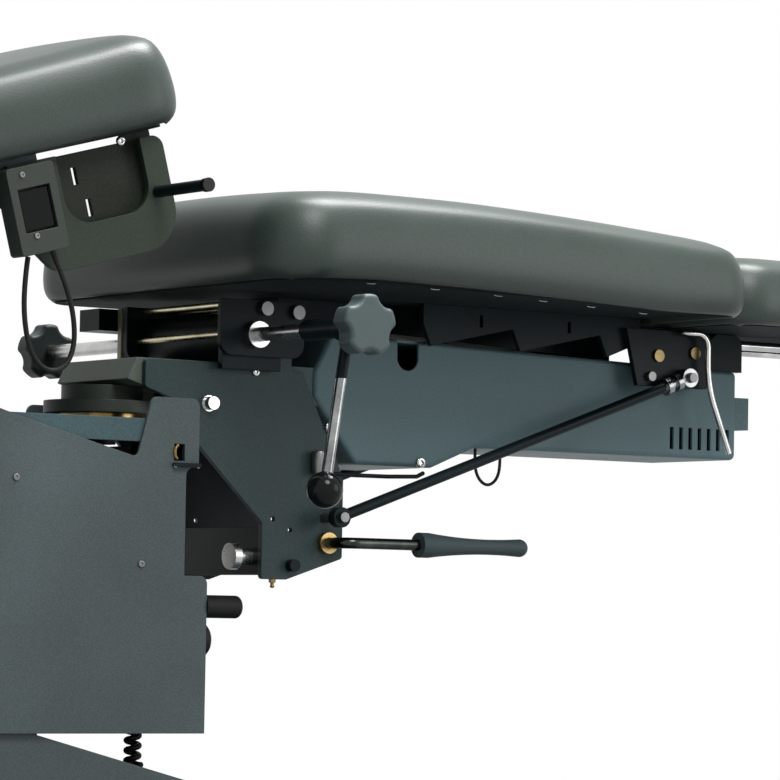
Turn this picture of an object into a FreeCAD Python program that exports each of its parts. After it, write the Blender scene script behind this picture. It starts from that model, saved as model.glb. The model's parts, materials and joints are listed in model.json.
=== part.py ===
import FreeCAD, Part
import math
import os

from FreeCAD import Vector

# Frame: millimetres, X towards the foot end, -Y the operator's side, +Z up.
# The origin lies on the floor under the swing axis of the turntable.

# Shared fits
slip = 0.3
running = 0.05
overrun = 5.0
cord_seat = 1.0
route_reach_share = 0.45
join_share = 0.5

# Base
base_head_x = -560.0
base_foot_x = 380.0
base_half_width = 250.0
base_thickness = 12.0
base_corner = 40.0
cover_half_width = 112.0
cover_sheet = 3.0
cover_head_x = -330.0
cover_peak_x = -277.0
cover_peak_z = 156.0
cover_toe_x = 242.0
cover_toe_z = 20.0

# Lift
column_x = -160.0
column_outer_side = 120.0
column_wall = 4.0
column_gap = 1.0
column_outer_top = 340.0
actuator_body_radius = 25.0
actuator_body_top = 250.0
actuator_rod_radius = 12.5
actuator_floor = 10.0

# Carriage
panel_half_width = 118.0
panel_sheet = 3.0
panel_head_x = -360.0
panel_bottom_z = 119.0
panel_shoulder_x = -230.0
panel_shoulder_z = 434.0
panel_dip_x = -154.0
panel_dip_z = 412.0
panel_valley_x = -31.0
panel_valley_z = 380.0
tab_head_x = -15.0
tab_foot_x = 38.0
tab_top_z = 438.0
tab_bottom_z = 372.0
panel_waist_x = 24.0
panel_step_z = 269.0
panel_foot_x = 50.0
panel_corner = 8.0
valley_corner = 5.0
foot_flange = 28.0
foot_flange_margin = 10.0
tab_slot_x = 16.0
tab_slot_z = 386.0
tab_slot_width = 12.0
tab_slot_height = 16.0
latch_head_x = 8.0
latch_height = 4.0
latch_depth = 5.0
latch_corner = 1.5
top_foot_x = 24.0
top_z = 417.0
top_sheet = 8.0
top_depth = 22.0
top_flange = 6.0
buffer_radius = 11.0
buffer_half_y = 110.0
buffer_length = 41.0
buffer_z = 240.0
buffer_round = 4.0

# Mast and thoracic pivot
mast_half_width = 108.0
mast_plate = 8.0
mast_head_x = -345.0
mast_foot_x = -245.0
mast_top_z = 612.0
mast_crown = 30.0
tilt_pivot_x = -300.0
tilt_pivot_z = 590.0
tilt_shaft_radius = 15.0
tilt_rest = 15.0

# Curly cord between base cover and carriage
curl_x = 6.0
curl_y = -60.0
curl_radius = 6.0
curl_wire_radius = 3.0
curl_pitch = 9.5
curl_quarters_per_turn = 4
curl_samples = 48

# Turntable and yoke
ring_radius = 42.0
ring_thickness = 8.0
kingpin_radius = 14.0
kingpin_bottom_z = 396.0
disc_radius = 57.0
disc_thickness = 12.0
neck_radius = 40.0
neck_height = 15.0
yoke_head_x = -12.0
yoke_foot_x = 96.0
yoke_half_width = 66.0
yoke_height = 26.0
yoke_chamfer = 10.0
yoke_undercut = 16.0
yoke_lip = 5.0
ear_thickness = 12.0
flex_x = 77.0
flex_z = 437.0
ear_radius = 16.0
pivot_radius = 8.0
pivot_head_radius = 6.5
pivot_head_height = 9.0

# Tower
tower_inner = 67.0
tower_plate = 6.0
tower_corner = 4.0
tower_head_x = 4.0
tower_head_z = 450.0
tower_top_z = 477.0
tower_belly_x = 52.0
tower_belly_z = 435.0
tower_throat_z = 410.0
tower_slant_x = 141.0
tower_slant_z = 323.0
tower_bottom_z = 268.0
tower_toe_x = 170.0
tower_foot_x = 236.0
tower_foot_z = 290.0
tower_back_z = 370.0
tower_neck_x = 185.0
tower_neck_z = 472.0
lug_head_x = 150.0
lug_foot_x = 172.0
lug_top_z = 538.0
tie_radius = 8.0
tie_x = 175.0
tie_z = 282.0
tie_head_radius = 6.0
tie_head_height = 9.0
cross_plate = 6.0
sight_hole_radius = 2.5
sight_holes = ((153.6, 327.0), (173.9, 316.8))
screw_y = -50.0
screw_z = 290.0
screw_head_x = 118.0
screw_foot_x = 160.0
screw_radius = 8.0
screw_cap_radius = 13.0
screw_cap_length = 8.0

# Spine tube
spine_head_x = 110.0
spine_foot_x = 330.0
spine_bottom_z = 440.0
spine_top_z = 478.0
spine_wall = 5.0

# Drive housing
housing_sheet = 3.0
housing_top_z = 500.0
housing_ridge_z = 514.0
housing_level_x = 700.0
housing_top_x = 222.0
housing_head_x = 201.0
housing_head_top_z = 475.0
housing_head_bottom_z = 450.0
housing_keel_x = 252.0
housing_keel_z = 384.0
housing_heel_x = 347.0
housing_step_x = 400.0
housing_step_z = 406.0
housing_foot_x = 742.0
housing_corner = 6.0
housing_edge = 5.0
notch_x = 314.0
notch_width = 26.0
notch_depth = 31.0
vent_first_x = 652.0
vent_count = 7
vent_pitch = 12.5
vent_slot = 5.0
vent_low_z = 415.0
vent_high_z = 438.0
junction_depth = 23.0
junction_bottom_z = 439.0
junction_top_z = 473.0
junction_half_width = 62.0
motor_radius = 42.0
motor_head_x = 490.0
motor_foot_x = 640.0
gear_head_x = 430.0
gear_half_width = 40.0
gear_height = 80.0

# Drop unit under the head end of the pelvic cushion
drop_plate_inner = 84.0
drop_plate_thickness = 6.0
drop_plate_head_x = 78.0
drop_plate_foot_x = 175.0
drop_plate_bottom_z = 484.0
drop_plate_top_z = 539.0
drop_plate_corner = 14.0
stud_radius = 3.5
stud_collar_radius = 9.0
stud_head_radius = 7.0
stud_head_height = 6.0
lug_stud_x = 165.0
lug_stud_z = 529.0
flange_stud_x = 128.0
flange_stud_z = 531.0
shaft_x = 118.0
shaft_z = 505.0
shaft_radius = 7.0
shaft_half_length = 280.0
far_reach = 36.0
shaft_collar_radius = 13.0
shaft_collar_length = 8.0
cylinder_radius = 24.0
cylinder_bore_radius = 11.0
flange_half_side = 34.0
flange_thickness = 7.0
tie_rod_radius = 3.0
tie_rod_wide = 27.0
tie_rod_narrow = 20.0
tie_rod_rise = 30.0
cylinder_far_y = 105.0
end_block_far_y = 150.0
end_block_head_x = 62.0
end_block_foot_x = 108.0
end_block_bottom_z = 516.0
end_block_top_z = 538.0

# Cocking lever and star knobs
hub_radius = 13.0
hub_near = 238.0
hub_far = 262.0
sleeve_radius = 10.0
sleeve_near = 180.0
lever_tilt_x = -24.0
lever_drop = 137.0
lever_radius = 5.5
ball_radius = 17.5
knob_seat = 264.0
knob_thickness = 24.0
knob_radius = 29.5
knob_lobes = 5
knob_dent_radius = 14.0
knob_dent_offset = 38.0
knob_cusp = 5.0
knob_edge = 4.5

# Flexion handle
handle_x = 217.0
handle_z = 305.0
handle_radius = 5.5
bush_radius = 10.5
bush_height = 6.0
handle_out = 34.0
handle_bend = 14.0
grip_start_x = 304.0
grip_length = 134.0
grip_radius = 9.0
grip_waist_radius = 7.8
grip_collar_radius = 12.5
grip_collar_length = 12.0

# Brace rods
brace_half_width = 100.0
brace_radius = 5.5
brace_low_x = 214.0
brace_low_z = 330.0
brace_high_x = 651.0
brace_high_z = 488.0
brace_ring_radius = 10.0
brace_ring_half = 5.0
brace_pin_radius = 5.0
brace_pin_tip = 110.0
brace_nut_radius = 9.0
brace_nut_height = 7.0
brace_nut_gap = 12.0

# Hinge brackets and drop rails
bracket_head_x = 577.0
bracket_low_x = 592.0
bracket_foot_x = 690.0
bracket_bottom_z = 478.0
bracket_top_z = 537.0
bracket_corner = 9.0
bracket_stud_x = 608.0
hinge_x = 667.0
hinge_z = 515.0
hinge_pin_radius = 4.0
hinge_head_radius = 6.5
hinge_head_height = 3.0
bracket_screw_x = 618.6
bracket_screw_z = 510.0
rail_inner = 76.0
rail_thickness = 6.0
rail_head_x = 324.0
rail_foot_x = 684.0
rail_tip_x = 334.0
rail_teeth = 3
rail_tooth_pitch = 112.0
rail_tooth_z = 506.0
rail_root_z = 528.0
rail_tail_z = 502.0
rail_slit_width = 4.0
rail_slit_height = 12.0
rail_slit_offset = 60.0
beam_half_width = 28.0
beam_head_x = 185.0
beam_head_z = 526.0
beam_foot_z = 507.0

# Pelvic section
pelvic_head_x = 46.0
pelvic_foot_x = 617.0
pelvic_half_width = 245.0
pelvic_board_z = 548.5
board_thickness = 12.0
board_inset = 16.0
board_corner = 40.0
pelvic_height = 78.0
pelvic_taper = 12.0
cushion_corner = 46.0
cushion_round = 30.0
cushion_draw = 7.0
cushion_draw_height = 26.0
cushion_crown = 9.0

# Leg section
leg_head_x = 630.0
leg_foot_x = 1030.0
leg_half_width = 200.0
leg_board_z = 540.0
leg_height = 63.0
leg_rod_radius = 5.0
leg_rod_half_gap = 40.0
leg_rod_z = 531.0
leg_rod_head_x = 560.0
leg_block_foot_x = 1005.0
leg_block_length = 30.0
guide_head_x = 712.0
guide_half_width = 62.0
guide_foot_x = 755.0
guide_top_z = 539.5
guide_corner = 12.0

# Bail wire
bail_radius = 3.0
bail_x = 646.0
bail_z = 535.0
bail_reach = 12.0
bail_shoulder = 30.0
bail_drop = 54.0
bail_kick = 30.0
bail_tail = 70.0

# Thoracic section, written level and turned about the mast pivot
thoracic_head_x = -560.0
thoracic_foot_x = -32.0
thoracic_half_width = 245.0
thoracic_board_z = 620.0
thoracic_height = 76.0
thoracic_rail_inner = 190.0
thoracic_rail_outer = 212.0
thoracic_rail_bottom_z = 578.0
thoracic_rail_head_x = -575.0
thoracic_rail_foot_x = -192.0
cross_head_x = -440.0
cross_foot_x = -195.0
cross_side = 30.0
web_half_width = 60.0
web_bottom_z = 575.0
sleeve_wall = 6.0
tilt_bracket_head_x = -187.0
tilt_bracket_foot_x = -64.0
tilt_bracket_bottom_z = 540.0
tilt_bracket_step_x = -95.0
tilt_bracket_step_z = 613.0
tilt_bracket_y = 205.0
tilt_bracket_sheet = 5.0
tilt_slot_width = 5.0
tilt_slot_length = 16.0
tilt_slot_head_x = -155.0
tilt_slot_foot_x = -146.0
tilt_slot_high_z = 584.0
tilt_slot_low_z = 553.0
sector_sheet = 6.0
sector_head_x = -228.0
sector_foot_x = -60.0
sector_bottom_z = 510.0
sector_top_z = 614.0
sector_corner = 38.0
sector_wing = 24.0
sector_mouth_head_x = -176.0
sector_mouth_z = 548.0
sector_mouth_corner = 26.0
box_head_x = -243.0
box_foot_x = -193.0
box_bottom_z = 532.0
box_top_z = 612.0
box_depth = 22.0
box_corner = 4.0
window_width = 34.0
window_height = 40.0
window_depth = 10.0
rocker_gap = 2.0
rocker_thickness = 7.0
rocker_relief = 2.0
release_x = -76.0
release_z = 562.0
release_radius = 5.5
release_reach = 300.0
release_cap_radius = 6.5
release_cap_length = 6.0
cord_radius = 2.4
cord_start_x = -232.0
cord_end_x = -206.0

# Head section, in the same level frame
head_pivot_x = -590.0
head_pivot_z = 600.0
head_pivot_radius = 8.0
head_fork_thickness = 12.0
head_plate_head_x = -905.0
head_plate_foot_x = -618.0
head_plate_half_width = 140.0
head_plate_bottom_z = 608.0
head_pad_width = 112.0
head_pad_gap = 62.0
head_pad_height = 70.0
head_pad_corner = 36.0
head_tongue_half_width = 40.0
head_tongue_depth = 30.0
head_slot_margin = 34.0

# Cable loop under the drive housing
cable_radius = 1.6
cable_head_x = 404.0
cable_foot_x = 435.0


# Helpers
def block(x0, x1, y0, y1, z0, z1):
    return Part.makeBox(x1 - x0, y1 - y0, z1 - z0, Vector(x0, y0, z0))


def rod(start, end, radius):
    way = end.sub(start)
    return Part.makeCylinder(radius, way.Length, start, way)


def rod_y(x, z, y0, y1, radius):
    return rod(Vector(x, y0, z), Vector(x, y1, z), radius)


def rounded_wire(points):
    """A closed wire in the XZ plane; each point is (x, z, corner radius) and corners become arcs."""
    edges = []
    ends = []
    count = len(points)
    for number in range(count):
        before = Vector(points[number - 1][0], 0, points[number - 1][1])
        corner = Vector(points[number][0], 0, points[number][1])
        after = Vector(points[(number + 1) % count][0], 0, points[(number + 1) % count][1])
        radius = points[number][2]
        if radius == 0:
            ends.append((corner, corner))
            continue
        back = before.sub(corner).normalize()
        ahead = after.sub(corner).normalize()
        half = back.getAngle(ahead) / 2
        reach = radius / math.tan(half)
        centre = corner.add(back.add(ahead).normalize().multiply(radius / math.sin(half)))
        start = corner.add(Vector(back).multiply(reach))
        end = corner.add(Vector(ahead).multiply(reach))
        middle = centre.add(corner.sub(centre).normalize().multiply(radius))
        edges.append(Part.Arc(start, middle, end).toShape())
        ends.append((start, end))
    for number in range(count):
        start = ends[number - 1][1]
        end = ends[number][0]
        if start.sub(end).Length > running:
            edges.append(Part.makeLine(start, end))
    return Part.Wire(Part.__sortEdges__(edges))


def plate(points, y0, y1):
    face = Part.Face(rounded_wire(points))
    solid = face.extrude(Vector(0, y1 - y0, 0))
    solid.translate(Vector(0, y0, 0))
    return solid


def mirrored(shape):
    return shape.mirror(Vector(0, 0, 0), Vector(0, 1, 0))


def flat_outline(x0, x1, y0, y1, corner, z):
    """A rounded rectangle in a level plane."""
    wire = rounded_wire([(x0, y0, corner), (x1, y0, corner), (x1, y1, corner), (x0, y1, corner)])
    wire.rotate(Vector(0, 0, 0), Vector(1, 0, 0), 90)
    wire = wire.mirror(Vector(0, 0, 0), Vector(0, 1, 0))
    wire.translate(Vector(0, 0, z))
    return wire


def board(x0, x1, y0, y1, corner, z0, thickness):
    return Part.Face(flat_outline(x0, x1, y0, y1, corner, z0)).extrude(Vector(0, 0, thickness))


def cushion(x0, x1, y0, y1, z0, height, taper, corner):
    """Upholstered pad: sides drawn in at the foot, a crowned top that may fall to +X, a soft top edge."""
    foot = flat_outline(x0 + cushion_draw, x1 - cushion_draw, y0 + cushion_draw, y1 - cushion_draw,
                        corner - cushion_draw, z0)
    waist = flat_outline(x0, x1, y0, y1, corner, z0 + cushion_draw_height)
    lower = Part.makeLoft([foot, waist], True, True)
    upper = Part.Face(waist).extrude(Vector(0, 0, height))
    length = x1 - x0
    half = (y1 - y0) / 2
    radius = (half * half + cushion_crown * cushion_crown) / (2 * cushion_crown)
    slope = Vector(length, 0, -taper).normalize()
    start = Vector(x0, (y0 + y1) / 2, z0 + height - radius).sub(Vector(slope).multiply(length))
    crown = Part.makeCylinder(radius, length + length + length, start, slope)
    upper = upper.common(crown)
    rim = [edge for edge in upper.Edges if edge.BoundBox.ZMin > z0 + cushion_draw_height + cushion_round / 2]
    upper = upper.makeFillet(cushion_round, rim)
    return lower.fuse(upper).removeSplitter()


def upholstered(x0, x1, half, z0, height, taper):
    """A board and the cushion whose cover is drawn down round the board's edge."""
    base = board(x0 + board_inset, x1 - board_inset, -half + board_inset, half - board_inset, board_corner, z0,
                 board_thickness)
    wall = board_inset - slip
    pocket = board(x0 + wall, x1 - wall, -half + wall, half - wall, board_corner, z0 - overrun,
                   board_thickness + overrun + slip)
    pad = cushion(x0, x1, -half, half, z0 + slip, height + board_thickness, taper, cushion_corner)
    return base, pad.cut(pocket)


def smooth_route(points):
    """A wire of straight runs with tangent arcs; prints the least bend radius."""
    edges = []
    start = points[0]
    least = None
    for number in range(1, len(points) - 1):
        corner = points[number]
        back = points[number - 1].sub(corner)
        ahead = points[number + 1].sub(corner)
        turn = math.pi - back.getAngle(ahead)
        reach = route_reach_share * min(back.Length, ahead.Length)
        radius = reach / math.tan(turn / 2)
        least = radius if least is None else min(least, radius)
        begin = corner.add(Vector(back).normalize().multiply(reach))
        finish = corner.add(Vector(ahead).normalize().multiply(reach))
        middle_way = Vector(back).normalize().add(Vector(ahead).normalize()).normalize()
        centre = corner.add(Vector(middle_way).multiply(radius / math.cos(turn / 2)))
        middle = centre.sub(Vector(middle_way).multiply(radius))
        edges.append(Part.makeLine(start, begin))
        edges.append(Part.Arc(begin, middle, finish).toShape())
        start = finish
    edges.append(Part.makeLine(start, points[-1]))
    return Part.Wire(edges), least


def tube(points, radius, name):
    """A round tube along a smooth route, checked against its section times its length."""
    wire, least = smooth_route(points)
    way = points[1].sub(points[0])
    section = Part.Wire(Part.makeCircle(radius, points[0], way))
    solid = wire.makePipeShell([section], True, False)
    share = solid.Volume / (math.pi * radius * radius * wire.Length)
    print(name, "least bend radius", round(least, 1), "volume share", round(share, 3))
    return solid


# Tilted thoracic frame
def tilted(shape):
    turned = shape.copy()
    turned.rotate(Vector(tilt_pivot_x, 0, tilt_pivot_z), Vector(0, 1, 0), -tilt_rest)
    return turned


def tilted_point(x, y, z):
    turn = math.radians(tilt_rest)
    along = x - tilt_pivot_x
    over = z - tilt_pivot_z
    return Vector(tilt_pivot_x + along * math.cos(turn) - over * math.sin(turn), y,
                  tilt_pivot_z + along * math.sin(turn) + over * math.cos(turn))


nodes = {}
fasteners = []


# Base
def cover_top(x):
    """Height of the base cover's sloped top at x."""
    return cover_toe_z + (cover_toe_x - x) * (cover_peak_z - cover_toe_z) / (cover_toe_x - cover_peak_x)


def make_base():
    nodes["base_plate"] = board(base_head_x, base_foot_x, -base_half_width, base_half_width, base_corner, 0,
                                base_thickness)
    outline = [(cover_head_x, base_thickness, 0), (cover_toe_x, base_thickness, 0), (cover_toe_x, cover_toe_z, 0),
               (cover_peak_x, cover_peak_z, 0), (cover_head_x, cover_peak_z, 0)]
    outer = plate(outline, -cover_half_width, cover_half_width)
    drop = cover_sheet
    inner_outline = [(cover_head_x + drop, base_thickness - overrun, 0),
                     (cover_toe_x - drop, base_thickness - overrun, 0),
                     (cover_toe_x - drop, cover_top(cover_toe_x - drop) - drop, 0),
                     (cover_peak_x, cover_peak_z - drop, 0), (cover_head_x + drop, cover_peak_z - drop, 0)]
    inner = plate(inner_outline, -cover_half_width + drop, cover_half_width - drop)
    half = column_outer_side / 2 + slip
    hole = block(column_x - half, column_x + half, -half, half, base_thickness, cover_peak_z + overrun)
    nodes["base_cover"] = outer.cut(inner).cut(hole)
    half = column_outer_side / 2
    bore = half - column_wall
    column = block(column_x - half, column_x + half, -half, half, base_thickness, column_outer_top)
    column = column.cut(block(column_x - bore, column_x + bore, -bore, bore, base_thickness, column_outer_top))
    nodes["lift_column_outer"] = column
    low = Vector(column_x, 0, base_thickness)
    body = rod(low, Vector(column_x, 0, actuator_body_top), actuator_body_radius)
    bore_start = Vector(column_x, 0, base_thickness + actuator_floor)
    body = body.cut(rod(bore_start, Vector(column_x, 0, actuator_body_top + overrun), actuator_rod_radius + running))
    nodes["actuator_body"] = body


# Carriage
def carriage_panel():
    """Near side panel: shoulder, dip, tab with its slot, waist, step and a return flange at the foot."""
    outline = [(panel_head_x, panel_bottom_z, 0), (panel_foot_x, panel_bottom_z, 0),
               (panel_foot_x, panel_step_z, panel_corner), (panel_waist_x, panel_step_z, 0),
               (panel_waist_x, tab_bottom_z, panel_corner), (tab_foot_x, tab_bottom_z, 0),
               (tab_foot_x, tab_top_z, panel_corner), (tab_head_x, tab_top_z, panel_corner),
               (panel_valley_x, panel_valley_z, valley_corner), (panel_dip_x, panel_dip_z, panel_corner),
               (panel_shoulder_x, panel_shoulder_z, panel_corner), (panel_head_x, panel_shoulder_z, panel_corner)]
    inner = panel_half_width - panel_sheet
    sheet = plate(outline, -panel_half_width, -inner)
    slot = block(tab_slot_x - tab_slot_width / 2, tab_slot_x + tab_slot_width / 2, -panel_half_width - overrun,
                 -inner + overrun, tab_slot_z - tab_slot_height / 2, tab_slot_z + tab_slot_height / 2)
    flange = block(panel_foot_x - panel_sheet, panel_foot_x, -inner, -inner + foot_flange,
                   panel_bottom_z + foot_flange_margin, panel_step_z - foot_flange_margin)
    return sheet.cut(slot).fuse(flange).removeSplitter()


def make_carriage():
    near = carriage_panel()
    nodes["carriage_panels"] = Part.makeCompound([near, mirrored(near)])
    inner = panel_half_width - panel_sheet
    head_end = block(panel_head_x, panel_head_x + panel_sheet, -inner, inner, panel_bottom_z,
                     panel_shoulder_z - panel_corner)
    foot_end = block(panel_waist_x - panel_sheet, panel_waist_x, -inner, inner, panel_step_z - foot_flange_margin,
                     top_z - top_depth)
    nodes["carriage_end"] = Part.makeCompound([head_end, foot_end])
    top = block(panel_head_x + panel_sheet, top_foot_x, -inner, inner, top_z - top_depth, top_z)
    hollow = block(panel_head_x + panel_sheet + top_flange, top_foot_x + overrun, -inner + top_flange,
                   inner - top_flange, top_z - top_depth - overrun, top_z - top_sheet)
    pin_hole = rod(Vector(0, 0, top_z - top_depth), Vector(0, 0, top_z + overrun), kingpin_radius + running)
    nodes["carriage_top"] = top.cut(hollow).cut(pin_hole)
    half = column_outer_side / 2 - column_wall - column_gap
    bore = half - column_wall
    low = base_thickness + actuator_floor
    column = block(column_x - half, column_x + half, -half, half, low, top_z - top_sheet)
    nodes["lift_column_inner"] = column.cut(block(column_x - bore, column_x + bore, -bore, bore, low,
                                                  top_z - top_sheet))
    rod_start = Vector(column_x, 0, base_thickness + actuator_floor + slip)
    nodes["actuator_rod"] = rod(rod_start, Vector(column_x, 0, top_z - top_sheet), actuator_rod_radius)
    ring = rod(Vector(0, 0, top_z), Vector(0, 0, top_z + ring_thickness), ring_radius)
    bore_top = Vector(0, 0, top_z + ring_thickness + overrun)
    nodes["thrust_ring"] = ring.cut(rod(Vector(0, 0, top_z - overrun), bore_top, kingpin_radius + slip))
    pins = []
    buffers = []
    for side in (-1, 1):
        y0 = min(side * panel_half_width, side * (panel_half_width + latch_depth))
        high = tab_bottom_z + latch_height
        pins.append(plate([(latch_head_x, tab_bottom_z, latch_corner), (tab_foot_x, tab_bottom_z, latch_corner),
                           (tab_foot_x, high, latch_corner), (latch_head_x, high, latch_corner)],
                          y0, y0 + latch_depth))
        start = Vector(panel_foot_x, side * buffer_half_y, buffer_z)
        rubber = rod(start, start.add(Vector(buffer_length, 0, 0)), buffer_radius)
        tip = [edge for edge in rubber.Edges if edge.BoundBox.XMin > panel_foot_x + buffer_length / 2]
        buffers.append(rubber.makeFillet(buffer_round, tip))
    nodes["lock_pins"] = Part.makeCompound(pins)
    nodes["buffers"] = Part.makeCompound(buffers)


def make_mast():
    outline = [(mast_head_x, top_z, 0), (mast_foot_x, top_z, 0), (mast_foot_x, mast_top_z, mast_crown),
               (mast_head_x, mast_top_z, mast_crown)]
    sides = []
    for side in (-1, 1):
        y0 = min(side * mast_half_width, side * (mast_half_width - mast_plate))
        sides.append(plate(outline, y0, y0 + mast_plate))
    shaft = rod_y(tilt_pivot_x, tilt_pivot_z, -mast_half_width, mast_half_width, tilt_shaft_radius)
    nodes["mast"] = sides[0].fuse([sides[1], shaft]).removeSplitter()


def biarc(start, start_way, end, end_way):
    """Two tangent arcs from one point and direction to another."""
    across = end.sub(start)
    ways = start_way.add(end_way)
    lead = across.dot(ways)
    weight = 2 * (1 - start_way.dot(end_way))
    reach = (-lead + math.sqrt(lead * lead + weight * across.dot(across))) / weight
    first = start.add(Vector(start_way).multiply(reach))
    last = end.sub(Vector(end_way).multiply(reach))
    join = first.add(last).multiply(join_share)
    arcs = []
    for begin, corner, finish in ((start, first, join), (join, last, end)):
        back = begin.sub(corner).normalize()
        ahead = finish.sub(corner).normalize()
        half = back.getAngle(ahead) / 2
        radius = begin.sub(corner).Length * math.tan(half)
        middle_way = back.add(ahead).normalize()
        middle = corner.add(Vector(middle_way).multiply(radius / math.sin(half) - radius))
        arcs.append(Part.Arc(begin, middle, finish).toShape())
    return arcs


def cord_foot():
    return cover_top(curl_x - curl_radius - curl_wire_radius) + curl_wire_radius + slip


def cord_head():
    return top_z - top_sheet - curl_wire_radius - slip


def curl_turns():
    return round((cord_head() - cord_foot()) / curl_pitch)


def curl_rise():
    """Rise of the curly cord per radian, so that whole turns fill the height."""
    return (cord_head() - cord_foot()) / (2 * math.pi * curl_turns())


def curl_point(angle, low):
    return Vector(curl_x + curl_radius * math.cos(angle), curl_y + curl_radius * math.sin(angle),
                  low + curl_rise() * angle)


def curl_way(angle):
    rise = curl_rise()
    return Vector(-curl_radius * math.sin(angle), curl_radius * math.cos(angle), rise).normalize()


def make_curly_cord():
    """A curly cord standing on the base cover, under the carriage top; one quarter turn is one biarc."""
    low = cord_foot()
    turns = curl_turns()
    quarters = turns * curl_quarters_per_turn
    step = 2 * math.pi / curl_quarters_per_turn
    edges = []
    for quarter in range(quarters):
        begin = quarter * step
        end = begin + step
        edges += biarc(curl_point(begin, low), curl_way(begin), curl_point(end, low), curl_way(end))
    lead = curl_wire_radius + curl_wire_radius
    first = curl_point(0, low)
    last = curl_point(quarters * step, low)
    edges.insert(0, Part.makeLine(first.sub(Vector(0, lead, 0)), first))
    edges.append(Part.makeLine(last, last.add(Vector(0, lead, 0))))
    wire = Part.Wire(edges)
    section = Part.Wire(Part.makeCircle(curl_wire_radius, edges[0].Vertexes[0].Point, Vector(0, 1, 0)))
    nodes["curly_cord"] = wire.makePipeShell([section], True, False)
    half_turn = math.pi
    apart = [half_turn + half_turn * number / curl_samples for number in range(curl_samples + curl_samples)]
    gaps = [first.sub(curl_point(angle, low)).Length - curl_wire_radius - curl_wire_radius for angle in apart]
    print("curly cord least gap to itself", round(min(gaps), 2), "turns", turns)


# Turntable
def make_turntable():
    low = top_z + ring_thickness + slip
    disc = rod(Vector(0, 0, low), Vector(0, 0, low + disc_thickness), disc_radius)
    neck_top = low + disc_thickness + neck_height
    neck = rod(Vector(0, 0, low + disc_thickness), Vector(0, 0, neck_top), neck_radius)
    pin = rod(Vector(0, 0, kingpin_bottom_z), Vector(0, 0, low), kingpin_radius)
    nodes["turntable"] = disc.fuse([neck, pin]).removeSplitter()
    outline = [(yoke_head_x + yoke_undercut, neck_top, 0), (yoke_foot_x, neck_top, 0),
               (yoke_foot_x, neck_top + yoke_height, 0), (yoke_head_x + yoke_chamfer, neck_top + yoke_height, 0),
               (yoke_head_x, neck_top + yoke_lip, 0)]
    yoke = plate(outline, -yoke_half_width, yoke_half_width)
    for side in (-1, 1):
        y0 = min(side * yoke_half_width, side * (yoke_half_width - ear_thickness))
        ear = block(flex_x - ear_radius, flex_x + ear_radius, y0, y0 + ear_thickness, flex_z, neck_top)
        yoke = yoke.fuse([ear, rod_y(flex_x, flex_z, y0, y0 + ear_thickness, ear_radius)])
    bore = rod_y(flex_x, flex_z, -yoke_half_width - overrun, yoke_half_width + overrun, pivot_radius + running)
    nodes["swing_yoke"] = yoke.removeSplitter().cut(bore)


# Tower
def make_tower():
    outline = [(tower_head_x, tower_head_z, tower_corner), (tower_belly_x, tower_belly_z, tower_corner),
               (tower_belly_x, tower_throat_z, tower_corner), (tower_slant_x, tower_slant_z, tower_corner),
               (tower_slant_x, tower_bottom_z, tower_corner), (tower_toe_x, tower_bottom_z, 0),
               (tower_foot_x, tower_foot_z, tower_corner), (tower_foot_x, tower_back_z, tower_corner),
               (tower_neck_x, tower_neck_z, 0), (lug_foot_x, tower_neck_z, tower_corner),
               (lug_foot_x, lug_top_z, tower_corner),
               (lug_head_x, lug_top_z, tower_corner), (lug_head_x, tower_top_z, tower_corner),
               (tower_head_x, tower_top_z, tower_corner)]
    outer = tower_inner + tower_plate
    near = plate(outline, -outer, -tower_inner)
    holes = [(flex_x, flex_z, pivot_radius + slip), (lug_stud_x, lug_stud_z, stud_radius + slip),
             (handle_x, handle_z, handle_radius + slip)]
    holes += [(x, z, sight_hole_radius) for x, z in sight_holes]
    for x, z, radius in holes:
        near = near.cut(rod_y(x, z, -outer - overrun, -tower_inner + overrun, radius))
    cross = block(tower_slant_x, tower_slant_x + cross_plate, -tower_inner, tower_inner,
                  tower_bottom_z + tower_corner, tower_slant_z - tower_corner)
    screw_start = Vector(screw_head_x, screw_y, screw_z)
    screw_end = Vector(screw_foot_x, screw_y, screw_z)
    cross = cross.cut(rod(screw_start, screw_end, screw_radius + running))
    nodes["tower_plates"] = Part.makeCompound([near, mirrored(near), cross])
    cap = rod(screw_start, screw_start.add(Vector(screw_cap_length, 0, 0)), screw_cap_radius)
    screw = rod(screw_start, screw_end, screw_radius).fuse(cap).removeSplitter()
    tie = rod_y(tie_x, tie_z, -tower_inner, tower_inner, tie_radius)
    heads = []
    for side in (-1, 1):
        heads.append(rod_y(tie_x, tie_z, side * outer, side * (outer + tie_head_height), tie_head_radius))
    nodes["tower_ties"] = Part.makeCompound([tie, screw] + heads)
    pivots = []
    for side in (-1, 1):
        shank = rod_y(flex_x, flex_z, side * (yoke_half_width - ear_thickness), side * outer, pivot_radius)
        head = rod_y(flex_x, flex_z, side * outer, side * (outer + pivot_head_height), pivot_head_radius)
        pivots.append(shank.fuse(head).removeSplitter())
    nodes["pivot_bolts"] = Part.makeCompound(pivots)
    spine = block(spine_head_x, spine_foot_x, -tower_inner, tower_inner, spine_bottom_z, spine_top_z)
    hollow = block(spine_head_x, spine_foot_x, -tower_inner + spine_wall, tower_inner - spine_wall,
                   spine_bottom_z + spine_wall, spine_top_z - spine_wall)
    nodes["spine_tube"] = spine.cut(hollow)
    bush = rod_y(handle_x, handle_z, -outer, -outer - bush_height, bush_radius)
    nodes["lever_bush"] = bush.cut(rod_y(handle_x, handle_z, -outer + overrun, -outer - bush_height - overrun,
                                         handle_radius + running))


# Drive housing
def ridge_at(x):
    """Height of the housing's falling top at x."""
    fall = (housing_ridge_z - housing_top_z) / (housing_level_x - housing_top_x)
    return housing_ridge_z - (x - housing_top_x) * fall


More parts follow.
